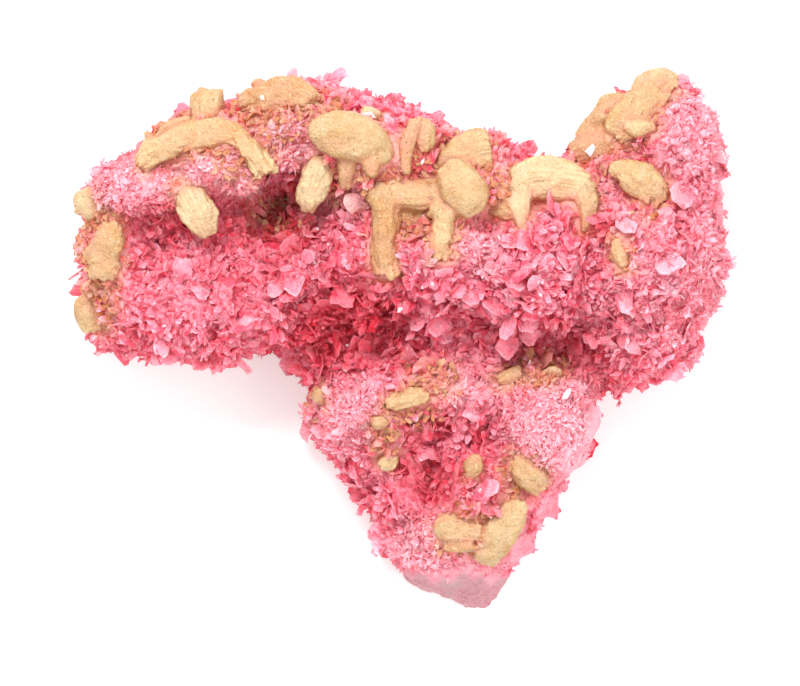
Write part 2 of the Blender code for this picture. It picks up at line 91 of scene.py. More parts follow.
# Zones on the plan: x, y, half-width, half-height, strength.
FROST_ZONES = (
    (-27.5, 17.0, 6.0, 3.4, 1.0), (-19.5, 17.6, 5.6, 3.0, 1.0), (-31.5, 16.0, 3.4, 3.6, 0.7),
    (-12.0, 21.0, 4.4, 3.0, 0.9), (-12.5, 28.6, 3.6, 2.4, 0.9), (-4.6, 14.6, 3.2, 1.8, 0.9),
    (8.4, 10.0, 2.8, 2.4, 1.0), (22.4, 15.2, 2.0, 2.4, 0.8), (31.6, 22.0, 5.0, 6.0, 0.6),
    (33.5, 8.0, 3.4, 9.0, 0.5), (27.0, 6.0, 7.0, 8.0, 0.4), (17.5, -9.0, 6.4, 6.6, 1.0),
    (12.5, -5.0, 4.6, 3.4, 0.8), (6.6, -4.4, 2.6, 3.0, 1.0), (-6.0, -7.5, 4.4, 4.0, 0.85),
    (2.2, -22.0, 3.6, 3.8, 1.0), (9.0, -25.0, 7.0, 2.6, 0.6),
)
STAIN_ZONES = (
    (2.2, 14.2, 5.4, 3.6, 0.9), (7.0, 21.4, 4.4, 2.4, 0.6), (-7.6, 17.6, 3.4, 2.6, 0.8),
    (11.0, 16.2, 2.6, 3.0, 1.0), (-9.4, 25.4, 3.6, 1.8, 0.8), (-33.6, 12.0, 3.2, 4.6, 0.9),
    (-32.8, 4.4, 3.0, 4.0, 0.9), (-24.0, 22.6, 6.6, 3.4, 0.9), (-14.6, 25.4, 4.8, 3.2, 0.9),
    (-18.0, 20.0, 3.0, 3.0, 0.6), (-2.6, 16.4, 3.6, 2.6, 0.6), (-13.4, 14.0, 4.4, 3.2, 0.5),
    (4.0, 17.0, 6.0, 3.4, 0.7), (-12.4, 22.8, 4.0, 2.6, 0.55), (22.4, 24.0, 5.0, 4.6, 0.9),
    (26.4, 14.4, 2.2, 2.2, 0.5), (23.2, 9.4, 1.4, 2.2, 0.8), (14.6, -3.0, 3.2, 2.0, 0.9),
    (3.2, -4.2, 3.6, 2.6, 0.6), (1.0, -7.4, 3.2, 2.2, 0.9), (-1.8, -10.4, 1.8, 1.8, 0.6),
    (13.4, -14.2, 3.0, 2.4, 0.8), (8.0, -20.4, 4.6, 3.2, 0.8), (-9.6, -6.6, 2.2, 2.4, 0.5),
)
# Zones of painted crimson shade: recesses, creases and the places under ledges.
SHADE_ZONES = (
    (-20.0, 13.4, 10.5, 2.6, 0.8), (-12.6, 11.8, 3.4, 3.0, 1.0), (-11.6, 11.6, 1.6, 1.5, 1.0),
    (-12.8, 16.4, 2.4, 1.4, 1.0), (1.5, 18.6, 1.6, 1.6, 1.0), (5.0, -0.8, 17.0, 2.4, 0.4),
    (-6.0, 2.2, 6.8, 5.0, 1.0), (2.0, -9.5, 5.0, 4.0, 0.3), (-15.0, 5.0, 8.0, 5.0, 0.15),
    (18.8, -1.4, 3.6, 2.4, 0.8), (-1.8, 3.0, 3.6, 4.4, 0.6), (3.2, -15.2, 3.4, 3.2, 0.9),
    (21.0, 12.4, 1.8, 1.8, 0.8),
)
PETAL_ZONES = (
    (11.0, 6.0, 13.0, 8.0, 1.0), (-5.4, 6.6, 8.0, 7.6, 1.0), (5.0, -9.0, 6.0, 5.0, 0.8),
    (-7.0, -1.0, 4.0, 4.0, 0.8),
)
SMOOTH_ZONES = (
    (21.2, -9.5, 1.8, 3.5, 1.0), (19.6, -14.2, 2.2, 3.2, 1.0), (16.8, -18.6, 2.4, 3.0, 1.0),
    (13.4, -22.8, 3.2, 2.6, 1.0), (7.0, -26.0, 6.0, 2.0, 0.9),
)
# Where the bare toe starts on the plan.
TOE_Y = -25.2
# The ground: size of its voxels, height of its folds, and how far it is drawn in under a sheaf.
GROUND_VOXEL = 0.48
FOLD_HEIGHT = 0.5
BURIED_DEPTH = 0.9
# Blades are kept above this height and at most so far over the top of the solids.
LOWEST_BLADE = 0.15
BLADE_HEADROOM = 0.3
# How far other crystals reach when the painted shade of the ground and the finished pieces is
# worked out.
GROUND_REACH = 7.0
PIECE_REACH = 2.4
# The camera: the width of its frame, the middle of what it looks at, and its sensor.
FRAME_WIDTH = 86.4
FRAME_MIDDLE = (-0.1, 0.0, 16.0)
SENSOR = 36.0
# Plates coloured near white as painted glints: x, y on the plan, length, width, turn in degrees.
GLINTS = (
    (-17.9, 12.4, 1.3, 0.4, 20), (13.9, -2.2, 1.0, 0.5, -30), (29.3, -0.2, 0.8, 0.4, 60),
    (30.1, 4.9, 0.7, 0.4, 15), (2.3, 19.3, 0.9, 0.4, 80), (-3.6, 24.4, 1.9, 0.9, -12),
    (-9.0, 12.2, 0.8, 0.4, 70), (-7.7, 10.6, 0.6, 0.3, 40), (-9.3, 8.7, 0.9, 0.4, 85),
    (7.5, 3.6, 1.3, 0.4, 40), (-5.8, -0.2, 1.2, 0.5, 88), (-0.1, 3.6, 0.9, 0.4, -30),
    (8.6, -15.8, 0.7, 0.4, 10), (28.0, 12.7, 0.8, 0.3, -20), (26.4, 13.3, 0.6, 0.3, 35),
    (24.2, 13.8, 0.8, 0.4, -10), (15.7, -13.3, 0.7, 0.4, 50), (5.8, -6.7, 1.0, 0.4, -40),
    (10.5, 11.1, 0.8, 0.3, 75), (20.4, 20.9, 1.6, 1.3, 25), (-14.8, 26.2, 0.9, 0.5, 5),
    (17.8, -5.4, 1.5, 0.7, 80),
)

# Each tan piece is made of bodies that run along a spine: the stations' x, y, z, width and
# thickness, then how squarely the body ends, its tone from tan to cream, and its blush of pink.
TAN_BODIES = {
    "arch_left": [
        ((-28.2, 18.7, 22.2, 2.0, 1.9), (-26.4, 20.2, 21.8, 2.8, 2.5),
         (-23.9, 21.5, 22.0, 2.9, 2.6), (-21.2, 22.2, 22.4, 3.1, 2.6),
         (-18.8, 22.4, 22.9, 2.8, 2.5), (-17.1, 21.6, 23.1, 2.4, 2.3),
         (-15.9, 20.3, 23.3, 2.2, 2.2), (-14.9, 19.0, 23.2, 2.8, 2.1),
         (-14.3, 17.7, 22.7, 3.3, 1.6), 0.9, 0.5, 0.05),
        ((-26.4, 21.3, 19.4, 1.4, 1.6), (-24.4, 22.8, 20.2, 1.9, 1.8),
         (-22.2, 23.6, 20.6, 1.9, 1.6), 0.4, 0.35, 0.1),
    ],
    "tooth_left": [
        ((-26.6, 20.3, 17.6, 2.0, 1.7), (-26.9, 21.4, 17.4, 1.7, 1.4),
         (-27.5, 22.7, 17.1, 0.8, 0.8), 0.4, 0.5, 0.0),
    ],
    "lobe_top_left": [
        ((-20.9, 23.2, 17.4, 2.6, 2.8), (-20.9, 24.6, 17.2, 3.4, 3.2),
         (-20.7, 26.2, 16.9, 3.7, 3.1), (-20.4, 27.4, 16.6, 2.9, 2.5), 0.9, 0.7, 0.0),
    ],
    "sheaf_left_tip": [
        ((-35.2, 14.4, 14.0, 1.7, 1.5), (-34.3, 14.9, 14.4, 3.2, 2.4),
         (-33.0, 15.0, 14.9, 3.8, 2.7), (-31.8, 14.6, 15.4, 2.6, 2.3), 0.7, 0.9, 0.0),
    ],
    "plates_left_edge": [
        ((-31.0, 13.2, 18.5, 2.0, 1.8), (-31.3, 11.2, 18.8, 3.2, 2.2), (-31.8, 9.0, 18.3, 3.4, 2.3),
         (-32.2, 6.8, 17.6, 2.8, 2.0), 0.7, 0.35, 0.15),
        ((-33.6, 10.4, 16.7, 1.8, 1.6), (-32.4, 9.2, 17.7, 2.4, 1.8), (-30.6, 8.0, 18.1, 2.0, 1.6),
         0.6, 0.4, 0.1),
    ],
    "plate_left_corner": [
        ((-34.5, 5.4, 12.4, 2.0, 1.7), (-34.1, 3.6, 12.1, 3.4, 2.3), (-33.5, 1.5, 11.3, 2.7, 1.9),
         0.6, 0.75, 0.1),
    ],
    "blade_lone_left": [
        ((-23.2, 17.2, 21.2, 2.1, 1.5), (-22.6, 15.7, 21.2, 3.5, 1.8),
         (-21.6, 13.8, 20.8, 3.9, 1.9), (-20.9, 12.2, 20.3, 2.9, 1.6),
         (-20.6, 11.5, 20.0, 2.0, 1.2), 0.55, 1.0, 0.0),
    ],
    "blade_lone_middle": [
        ((-8.0, 20.0, 22.4, 2.0, 1.6), (-8.5, 18.8, 22.2, 3.1, 2.0), (-9.3, 16.9, 21.7, 3.3, 2.2),
         (-9.9, 15.2, 21.0, 2.6, 1.8), (-10.2, 14.2, 20.4, 1.6, 1.2), 0.55, 1.0, 0.0),
    ],
    "blade_lone_right": [
        ((22.4, 17.9, 21.2, 1.2, 1.2), (23.4, 18.3, 21.6, 2.7, 1.9), (25.2, 17.5, 21.8, 3.8, 2.3),
         (27.0, 16.2, 21.5, 3.3, 2.1), (28.2, 15.2, 21.0, 1.8, 1.4), 0.5, 0.6, 0.0),
    ],
    "sheaf_crest": [
        ((-17.4, 25.4, 19.4, 1.8, 1.6), (-15.8, 25.9, 20.4, 2.6, 2.2),
         (-14.0, 26.3, 21.1, 3.5, 2.8), (-12.2, 26.6, 21.6, 3.8, 3.1),
         (-10.4, 26.2, 22.2, 3.1, 2.8), (-9.2, 25.4, 22.6, 2.2, 2.2), 1.0, 0.15, 0.45),
        ((-15.5, 27.2, 19.8, 1.4, 1.3), (-14.9, 28.2, 19.4, 1.3, 1.0), 0.6, 0.2, 0.3),
    ],
    "lobe_ridge": [
        ((-9.0, 21.4, 24.4, 2.6, 2.4), (-8.0, 22.0, 24.8, 4.4, 3.6), (-5.8, 22.0, 25.1, 5.2, 4.0),
         (-3.8, 21.3, 25.0, 4.8, 3.9), (-2.4, 20.3, 24.6, 3.4, 3.2), (-1.6, 19.4, 24.2, 2.2, 2.4),
         0.1, 0.5, 0.0),
        ((-5.5, 20.6, 24.6, 1.6, 1.8), (-5.7, 18.4, 24.0, 2.0, 1.9), (-5.9, 16.4, 23.3, 0.9, 1.0),
         0.4, 0.2, 0.4),
        ((-3.4, 20.2, 25.0, 1.7, 1.9), (-3.2, 18.8, 25.5, 2.1, 1.7), (-3.1, 17.5, 25.6, 1.2, 1.0),
         0.4, 0.1, 0.5),
    ],
    "tooth_ridge": [
        ((-4.1, 24.8, 22.2, 1.0, 0.9), (-3.2, 24.5, 22.1, 1.5, 1.2), (-2.2, 24.1, 21.9, 1.3, 1.0),
         0.2, 1.0, 0.0),
    ],
    "spear_ridge": [
        ((0.6, 18.0, 24.0, 0.8, 0.9), (0.5, 19.4, 24.3, 1.3, 1.3), (0.7, 21.2, 24.4, 1.6, 1.3),
         (1.4, 22.9, 24.1, 1.3, 1.2), (2.1, 24.0, 23.6, 0.7, 0.7), 0.1, 0.6, 0.8),
        ((2.4, 20.1, 22.8, 1.4, 1.6), (2.3, 21.4, 22.9, 2.3, 2.3), (2.1, 22.8, 22.8, 2.9, 2.5),
         (1.8, 24.0, 22.6, 2.0, 1.8), 0.5, 0.4, 0.15),
    ],
    "cluster_centre": [
        ((3.4, 17.8, 21.9, 1.8, 2.0), (4.9, 18.9, 22.0, 3.0, 2.6), (6.6, 20.0, 22.1, 4.2, 3.0),
         (8.4, 20.6, 22.2, 4.6, 3.0), (9.4, 20.7, 22.2, 3.7, 2.4), 0.6, 0.4, 0.0),
        ((4.6, 18.6, 24.4, 2.6, 2.6), (5.6, 17.7, 24.8, 4.4, 3.8), (6.6, 16.4, 24.9, 5.2, 4.2),
         (7.3, 14.9, 24.7, 4.4, 3.8), (7.7, 13.8, 24.3, 2.8, 2.8), 0.2, 0.65, 0.0),
        ((5.4, 14.8, 24.2, 3.2, 2.6), (4.2, 13.9, 24.2, 2.9, 2.4), (3.2, 13.3, 23.8, 1.8, 1.6), 0.9,
         0.5, 0.0),
        ((4.6, 14.0, 24.7, 2.6, 2.2), (4.4, 12.2, 24.9, 2.5, 2.2), (4.2, 10.4, 24.8, 2.4, 2.2),
         (4.0, 8.9, 24.5, 2.2, 1.9), 1.0, 0.75, 0.0),
        ((0.3, 14.6, 22.0, 1.4, 1.4), (1.0, 13.2, 21.9, 1.9, 1.7), (1.6, 11.9, 21.6, 1.3, 1.2), 0.9,
         0.35, 0.25),
        ((2.3, 14.8, 22.2, 1.3, 1.4), (2.5, 13.4, 22.2, 1.7, 1.6), (2.7, 12.0, 21.9, 1.2, 1.1), 0.9,
         0.55, 0.15),
        ((-1.0, 17.2, 22.9, 2.6, 2.4), (-1.7, 16.0, 22.9, 3.2, 2.9), (-1.7, 14.0, 22.8, 3.1, 3.0),
         (-1.6, 11.2, 22.6, 2.9, 2.9), (-1.6, 8.8, 22.4, 3.0, 2.7), (-1.5, 7.0, 22.0, 3.1, 2.3),
         1.0, 0.0, 0.1),
        ((-1.6, 16.6, 22.9, 3.0, 2.6), (0.4, 15.9, 23.0, 3.0, 2.7), (2.4, 15.8, 23.2, 3.4, 2.7),
         (4.4, 16.2, 23.8, 3.2, 2.8), 0.3, 0.35, 0.0),
    ],
    "cluster_right": [
        ((11.6, 16.8, 21.5, 3.0, 2.4), (13.2, 17.3, 21.3, 4.2, 3.0), (15.0, 17.6, 21.1, 4.9, 3.3),
         (16.8, 17.3, 20.9, 4.6, 3.1), (18.6, 17.0, 21.0, 3.9, 2.6), (20.2, 16.7, 21.1, 2.8, 2.3),
         0.4, 0.95, 0.0),
        ((13.2, 11.9, 22.5, 1.1, 1.4), (12.8, 13.4, 22.3, 1.9, 1.8), (12.6, 15.2, 22.0, 2.8, 2.2),
         (12.9, 16.8, 21.6, 3.2, 2.5), 0.3, 1.0, 0.0),
        ((19.4, 16.9, 21.2, 2.8, 2.3), (19.8, 15.4, 21.4, 2.6, 2.3), (19.9, 13.8, 21.6, 2.1, 2.1),
         (19.9, 11.8, 21.7, 1.3, 1.8), 0.3, 0.6, 0.0),
        ((8.9, 16.6, 20.9, 2.4, 2.0), (10.0, 15.4, 21.3, 3.3, 2.4), (11.2, 14.5, 21.6, 2.9, 2.2),
         (12.4, 14.2, 21.7, 1.7, 1.5), 0.8, 0.2, 0.15),
    ],
    "cluster_horn": [
        ((18.6, 20.2, 16.4, 2.6, 2.4), (20.2, 20.9, 16.9, 3.7, 3.2), (22.0, 21.5, 17.3, 3.5, 3.1),
         (23.4, 22.6, 17.9, 2.4, 2.4), 0.4, 0.1, 0.55),
        ((19.6, 21.9, 16.0, 2.0, 1.8), (21.0, 23.2, 16.5, 3.3, 2.5), (22.8, 23.9, 17.3, 3.3, 2.7),
         0.5, 0.35, 0.1),
        ((21.5, 24.6, 16.3, 1.8, 1.7), (22.3, 25.6, 16.6, 2.7, 2.1), (23.8, 25.7, 17.1, 2.7, 2.4),
         0.6, 0.5, 0.0),
        ((22.9, 22.0, 18.6, 2.4, 2.3), (23.9, 23.5, 18.8, 4.0, 3.1), (25.3, 24.9, 18.5, 4.4, 3.1),
         (26.7, 26.3, 17.9, 3.9, 2.9), (27.8, 27.5, 17.5, 3.0, 2.5), 0.6, 0.4, 0.05),
        ((23.8, 23.4, 20.0, 1.5, 1.4), (25.4, 23.1, 20.1, 2.0, 1.8), (27.2, 23.2, 19.7, 1.5, 1.4),
         0.3, 0.85, 0.0),
        ((25.3, 27.0, 16.9, 2.2, 1.9), (26.8, 27.8, 17.1, 3.1, 2.5), (28.4, 28.1, 17.1, 3.2, 2.4),
         (29.6, 27.5, 16.9, 2.2, 1.9), 0.5, 0.75, 0.05),
    ],
    "cluster_toe": [
        ((12.8, -17.0, 14.5, 2.3, 2.1), (12.0, -18.6, 14.8, 3.5, 2.7),
         (10.8, -20.4, 14.7, 3.7, 2.7), (9.8, -22.2, 14.0, 3.2, 2.4), (9.0, -23.8, 13.0, 2.4, 1.9),
         0.5, 0.55, 0.0),
        ((3.9, -20.6, 14.2, 1.8, 1.8), (5.0, -20.0, 14.6, 3.2, 2.5), (6.6, -20.2, 14.6, 3.0, 2.3),
         (8.6, -20.4, 14.5, 2.4, 2.1), 0.5, 0.45, 0.05),
        ((4.6, -21.8, 13.8, 1.6, 1.6), (6.2, -21.7, 14.2, 2.2, 1.9), (8.0, -21.6, 14.2, 2.0, 1.8),
         0.6, 0.1, 0.35),
    ],
    "sheaf_stem_upper": [
        ((-1.6, -6.8, 16.9, 1.3, 1.2), (-0.2, -6.3, 17.1, 2.0, 1.6), (1.4, -5.9, 17.0, 2.4, 1.7),
         (2.9, -5.3, 16.7, 1.7, 1.4), 0.8, 0.75, 0.05),
    ],
    "knob_stem_left": [
        ((-3.2, -8.7, 17.8, 1.0, 1.0), (-2.3, -8.6, 18.0, 1.8, 1.5), (-1.4, -8.8, 17.7, 1.2, 1.1),
         0.4, 0.7, 0.1),
    ],
    "knob_stem_low_left": [
        ((-2.1, -13.4, 14.9, 1.2, 1.0), (-1.4, -12.9, 15.0, 1.9, 1.5),
         (-0.5, -12.2, 14.9, 1.2, 1.1), 0.5, 0.9, 0.0),
    ],
    "knob_stem_edge": [
        ((-8.6, -6.8, 14.2, 1.1, 1.1), (-8.7, -5.8, 14.5, 1.7, 1.5), (-8.8, -4.8, 14.5, 1.1, 1.0),
         0.4, 0.5, 0.3),
    ],
    "sheaf_stem_right": [
        ((11.9, -12.6, 16.4, 2.0, 1.6), (13.2, -13.4, 16.6, 3.2, 2.4),
         (14.6, -14.8, 16.2, 3.1, 2.2), (15.5, -15.7, 15.7, 1.9, 1.5), 0.7, 0.6, 0.15),
    ],
    "sheaf_stem_top": [
        ((10.2, -4.1, 15.7, 1.3, 1.2), (11.6, -3.7, 16.0, 1.8, 1.5), (13.2, -3.1, 15.9, 1.4, 1.2),
         0.6, 0.3, 0.3),
    ],
    "knob_stem_top": [
        ((15.0, -3.6, 16.1, 1.2, 1.1), (16.2, -3.3, 16.3, 1.7, 1.4), (17.4, -3.3, 16.1, 1.2, 1.1),
         0.5, 0.9, 0.1),
    ],
    "sheaf_stem_middle": [
        ((7.5, -14.6, 16.6, 1.3, 1.2), (7.8, -13.2, 16.9, 2.0, 1.7), (8.2, -11.9, 16.8, 1.3, 1.2),
         0.6, 0.1, 0.3),
    ],
    "streak_right": [
        ((22.8, 11.1, 25.0, 0.9, 0.9), (23.1, 9.6, 25.1, 1.6, 1.3), (23.6, 8.0, 24.9, 1.0, 1.0),
         0.5, 0.8, 0.15),
    ],
}


def colour(name, default, description):
    """A colour setting."""
    kind = {"subtype": "COLOR", "size": 3, "min": 0.0, "max": 1.0}
    return FloatVectorProperty(name=name, description=description, default=default, **kind)


def length(name, default, description):
    """A size in metres whose default is given in millimetres."""
    kind = {"min": 0.0, "unit": "LENGTH", "precision": 5}
    return FloatProperty(name=name, description=description, default=default * MM, **kind)


class AxiniteSettings(bpy.types.PropertyGroup):
    body: colour("Body", (0.97, 0.29, 0.385), "Pink of a blade's broad face")
    pale: colour("Pale", (1.0, 0.50, 0.57), "Paler pink of whole clusters of blades")
    # Crimson of the darker blades and of clouds on the ground, also used as painted shade between
    # and under the blades.
    deep: colour("Crimson and shade", (0.90, 0.07, 0.14), "Red of the crust between and under the blades")
    # Tip: pale pink painted on rims and tips as light through thin edges, and on fold crests as
    # painted highlight.
    tip: colour("Tip", (1.0, 0.74, 0.82), "Paler pink of thin edges and tips")
    frost: colour("Frost", (1.0, 0.60, 0.66), "Near-white pink of the fine druse")
    stain: colour("Stain", (0.84, 0.50, 0.26), "Tan stain round the sheaves")
    speck: colour("Speck", (0.16, 0.05, 0.04), "Dark specks scattered over the crust")
    sink: length("Ground depth", 0.3, "How far the ground lies under the outer form")
    petal: length("Petal width", 2.2, "Width of the broadest blades")
    blade: length("Blade width", 0.88, "Width of the common blades")
    chip: length("Chip width", 0.6, "Width of the small blades that fill between")
    needle: length("Druse width", 0.48, "Width of the finest plates")
    seed: IntProperty(name="Seed", description="Changes every chance value", default=4, min=0)


class StilbiteSettings(bpy.types.PropertyGroup):
    cream: colour("Cream", (0.82, 0.64, 0.365), "Palest tan, of the lone crystals")
    tan: colour("Tan", (0.57, 0.33, 0.13), "Common tan of the sheaves")
    # Orange-brown painted as shade in a sheaf's crevices, on its steep sides, in its grooves and in
    # its grain's pits.
    shade: colour("Shade", (0.52, 0.21, 0.07), "Orange-brown of a sheaf's crevices")
    blush: colour("Blush", (0.70, 0.31, 0.20), "Salmon of the sheaves that take the crust's colour")
    straw: colour("Straw", (1.0, 0.84, 0.56), "Fine pale lines along the clearest sheaves")
    honey: colour("Honey", (0.62, 0.29, 0.09), "Orange-brown patches inside the sheaves")
    salmon: colour("Salmon", (0.86, 0.36, 0.26), "Pinkish tan where a sheaf meets the crust")
    speck: colour("Speck", (0.07, 0.035, 0.02), "Dark specks scattered over the sheaves")
    grain: length("Grain", 0.17, "Finest form that a sheaf's mesh holds")
    lath: length("Lath width", 0.75, "Width of the small laths on the crust near the sheaves")
    laths: IntProperty(name="Laths", description="Ribs round a sheaf", default=12, min=5, max=40)
    seed: IntProperty(name="Seed", description="Changes every chance value", default=7, min=0)


class StageSettings(bpy.types.PropertyGroup):
    floor: colour("Floor", (0.93, 0.93, 0.93), "Plain pale floor")
    daylight: FloatProperty(
        name="Daylight", description="Strength of the even light", default=0.78, min=0.0
    )
    key: FloatProperty(name="Key", description="Power of the large lamp", default=1.7, min=0.0)
    lens: FloatProperty(
        name="Lens", description="Focal length", default=200.0, min=10.0, subtype="DISTANCE_CAMERA"
    )


def plan_point(x, y, z):
    """A point of the plan, in metres in the model's frame."""
    return Vector((x + PLAN_ZERO[0], y + PLAN_ZERO[1], z)) * MM


def object_from(mesh, name):
    """A mesh as an object in the scene."""
    obj = bpy.data.objects.new(name, mesh)
    bpy.context.scene.collection.objects.link(obj)
    return obj


def bmesh_object(bm, name):
    """A finished bmesh as an object in the scene."""
    mesh = bpy.data.meshes.new(name)
    bm.to_mesh(mesh)
    bm.free()
    return object_from(mesh, name)


def settle(obj):
    """Makes the evaluated mesh the object's own, with no modifier left."""
    graph = bpy.context.evaluated_depsgraph_get()
    mesh = bpy.data.meshes.new_from_object(obj.evaluated_get(graph))
    obj.modifiers.clear()
    obj.data = mesh
    return obj


def run_together(obj, voxel, rounds):
    """Gives an object's shells one smoothed skin, its vertices and faces in order of their place.

    The scatter's chance follows their numbers, so these don't depend on how a remesh counts.
    """
    merge = obj.modifiers.new("Merge", "REMESH")
    merge.mode = "VOXEL"
    merge.voxel_size = voxel
    settle(obj)
    mesh = obj.data
    points = vertex_array(mesh, "co")
    order = np.lexsort(points.T)
    rank = np.empty(len(order), int)
    rank[order] = np.arange(len(order))
    faces = []
    for polygon in mesh.polygons:
        corners = rank[list(polygon.vertices)].tolist()
        first = corners.index(min(corners))
        faces.append(corners[first:] + corners[:first])
    mesh.clear_geometry()
    mesh.from_pydata(points[order].tolist(), [], sorted(faces))
    soften = obj.modifiers.new("Soften", "SMOOTH")
    soften.iterations = rounds
    settle(obj)


def finish_piece(obj, nodes):
    """Says which body a piece moves with and hides the solids it stands for."""
    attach(obj, "root")
    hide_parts(*nodes)


def store(mesh, name, values):
    """Keeps one number for each vertex."""
    layer = mesh.attributes.new(name, "FLOAT", "POINT")
    layer.data.foreach_set("value", np.asarray(values, np.float32))


def vertex_array(mesh, field):
    """Three numbers of each vertex, such as its place or its normal, as rows."""
    values = np.zeros(len(mesh.vertices) * 3, np.float32)
    mesh.vertices.foreach_get(field, values)
    return values.reshape(-1, 3)


def move_vertices(mesh, points):
    """Puts a mesh's vertices at the points."""
    mesh.vertices.foreach_set("co", points.ravel())
    mesh.update()


def zone_field(points, zones):
    """How strongly each point, in metres, lies in the zones, from 0 to 1."""
    x = points[:, 0] / MM - PLAN_ZERO[0]
    y = points[:, 1] / MM - PLAN_ZERO[1]
    field = np.zeros(len(points))
    for cx, cy, half_x, half_y, strength in zones:
        reach = np.sqrt(((x - cx) / half_x) ** 2 + ((y - cy) / half_y) ** 2)
        share = np.clip(1.45 - reach, 0.0, 1.0)
        field = np.maximum(field, strength * share * share * (3 - 2 * share))
    return field


# Ground


def whole_copy(names):
    """The named nodes' meshes in one new mesh, each closed."""
    bm = bmesh.new()
    for name in names:
        bm.from_mesh(frame["nodes"][name].data)
    bmesh.ops.remove_doubles(bm, verts=bm.verts, dist=1e-6)
    return bm


def crumpled(point):
    """Folds with sharp crests at one place, from about -0.7 to 0.5."""
    bent = point + noise.noise_vector(point / 2.4) * 0.8
    broad = 0.45 - 1.6 * abs(noise.noise(bent / 1.7))
    return broad + 0.3 - 0.9 * abs(noise.noise(bent / 0.75 + Vector((5.0, 3.0, 1.0))))


def from_sheaves(points):
    """For each point, how far the nearest sheaf is, and whether the point is inside it."""
    bm = whole_copy(sorted(set(frame["nodes"]) - {"crust"}))
    tree = BVHTree.FromBMesh(bm)
    bm.free()
    distances, buried = np.empty(len(points)), np.empty(len(points), bool)
    for index, point in enumerate(points.tolist()):
        place, normal, _, distances[index] = tree.find_nearest(point)
        buried[index] = (Vector(point) - place).dot(normal) < 0.12 * MM
    return distances, buried


def past_toe(points):
    """How far each point lies past the wavy line where the bare toe starts, in millimetres."""
    x, y = points[:, 0] / MM, points[:, 1] / MM
    return TOE_Y + PLAN_ZERO[1] + 0.5 * np.sin(1.1 * x) + 0.35 * np.sin(2.9 * x + 1.0) - y


def ground_mesh(depth):
    """The crust and its sheaves run together, softened and drawn in by depth."""
    bm = whole_copy(sorted(frame["nodes"]))
    ground = bmesh_object(bm, "crust_ground")
    run_together(ground, GROUND_VOXEL * MM, 4)
    mesh = ground.data
    mesh.materials.clear()
    points, normals = vertex_array(mesh, "co"), vertex_array(mesh, "normal")
    z = points[:, 2] / MM
    toe = np.clip(past_toe(points) / 1.5, 0, 1)
    low = np.clip((2.0 - z) / 1.6, 0, 1)
    draw = depth * (1 - np.maximum(toe, low) * 0.85)
    folds = np.array([crumpled(Vector(p) / MM) for p in points])
    distances, buried = from_sheaves(points)
    calm = np.clip(distances / (1.6 * MM), 0.1, 1.0) * ~buried
    calm *= 1 - 0.75 * zone_field(points, SMOOTH_ZONES)
    rough = FOLD_HEIGHT * MM * folds * calm * (z > 0.25)
    draw = np.where(buried, np.maximum(draw, BURIED_DEPTH * MM), draw)
    points += normals * (rough - draw)[:, None]
    points[:, 2] = np.maximum(points[:, 2], np.where(z < 0.3, 0.0, 0.05 * MM))
    move_vertices(mesh, points)
    return ground


def sky_directions(rays):
    """Directions spread evenly over the upper part of the sky."""
    directions = []
    for i in range(rays):
        lift = math.sqrt(0.15 + 0.8 * (i + 0.5) / rays)
        turn = i * math.pi * (3 - math.sqrt(5))
        side = math.sqrt(1 - lift * lift)
        directions.append(Vector((side * math.cos(turn), side * math.sin(turn), lift)))
    return directions


def shape_tree(objects):
    """One search tree over the triangles of all the objects."""
    corners, triangles, offset = [], [], 0
    for obj in objects:
        mesh = obj.data
        mesh.calc_loop_triangles()
        indices = np.zeros(len(mesh.loop_triangles) * 3, np.int32)
        mesh.loop_triangles.foreach_get("vertices", indices)
        triangles.append(indices.reshape(-1, 3) + offset)
        corners.append(vertex_array(mesh, "co"))
        offset += len(mesh.vertices)
    corners, triangles = np.concatenate(corners).tolist(), np.concatenate(triangles).tolist()
    return BVHTree.FromPolygons(corners, triangles, all_triangles=True)


def openness(mesh, tree, reach, rays, clear):
    """For each vertex, the share of the sky above it that nothing within reach blocks."""
    directions = sky_directions(rays)
    shares = np.empty(len(mesh.vertices))
    for index, vert in enumerate(mesh.vertices):
        start = vert.co + vert.normal * clear
        shares[index] = sum(tree.ray_cast(start, d, reach)[0] is None for d in directions)
    return shares / rays


def bare_of_blades(mesh, distances, buried):
    """1 where a sheaf, the toe or the broken back leaves no room for blades."""
    points, normals = vertex_array(mesh, "co"), vertex_array(mesh, "normal")
    low = (points[:, 2] < 1.0 * MM) | (normals[:, 2] < -0.75)
    return ((buried & (distances < 3 * MM)) | low | (past_toe(points) > 0)).astype(float)


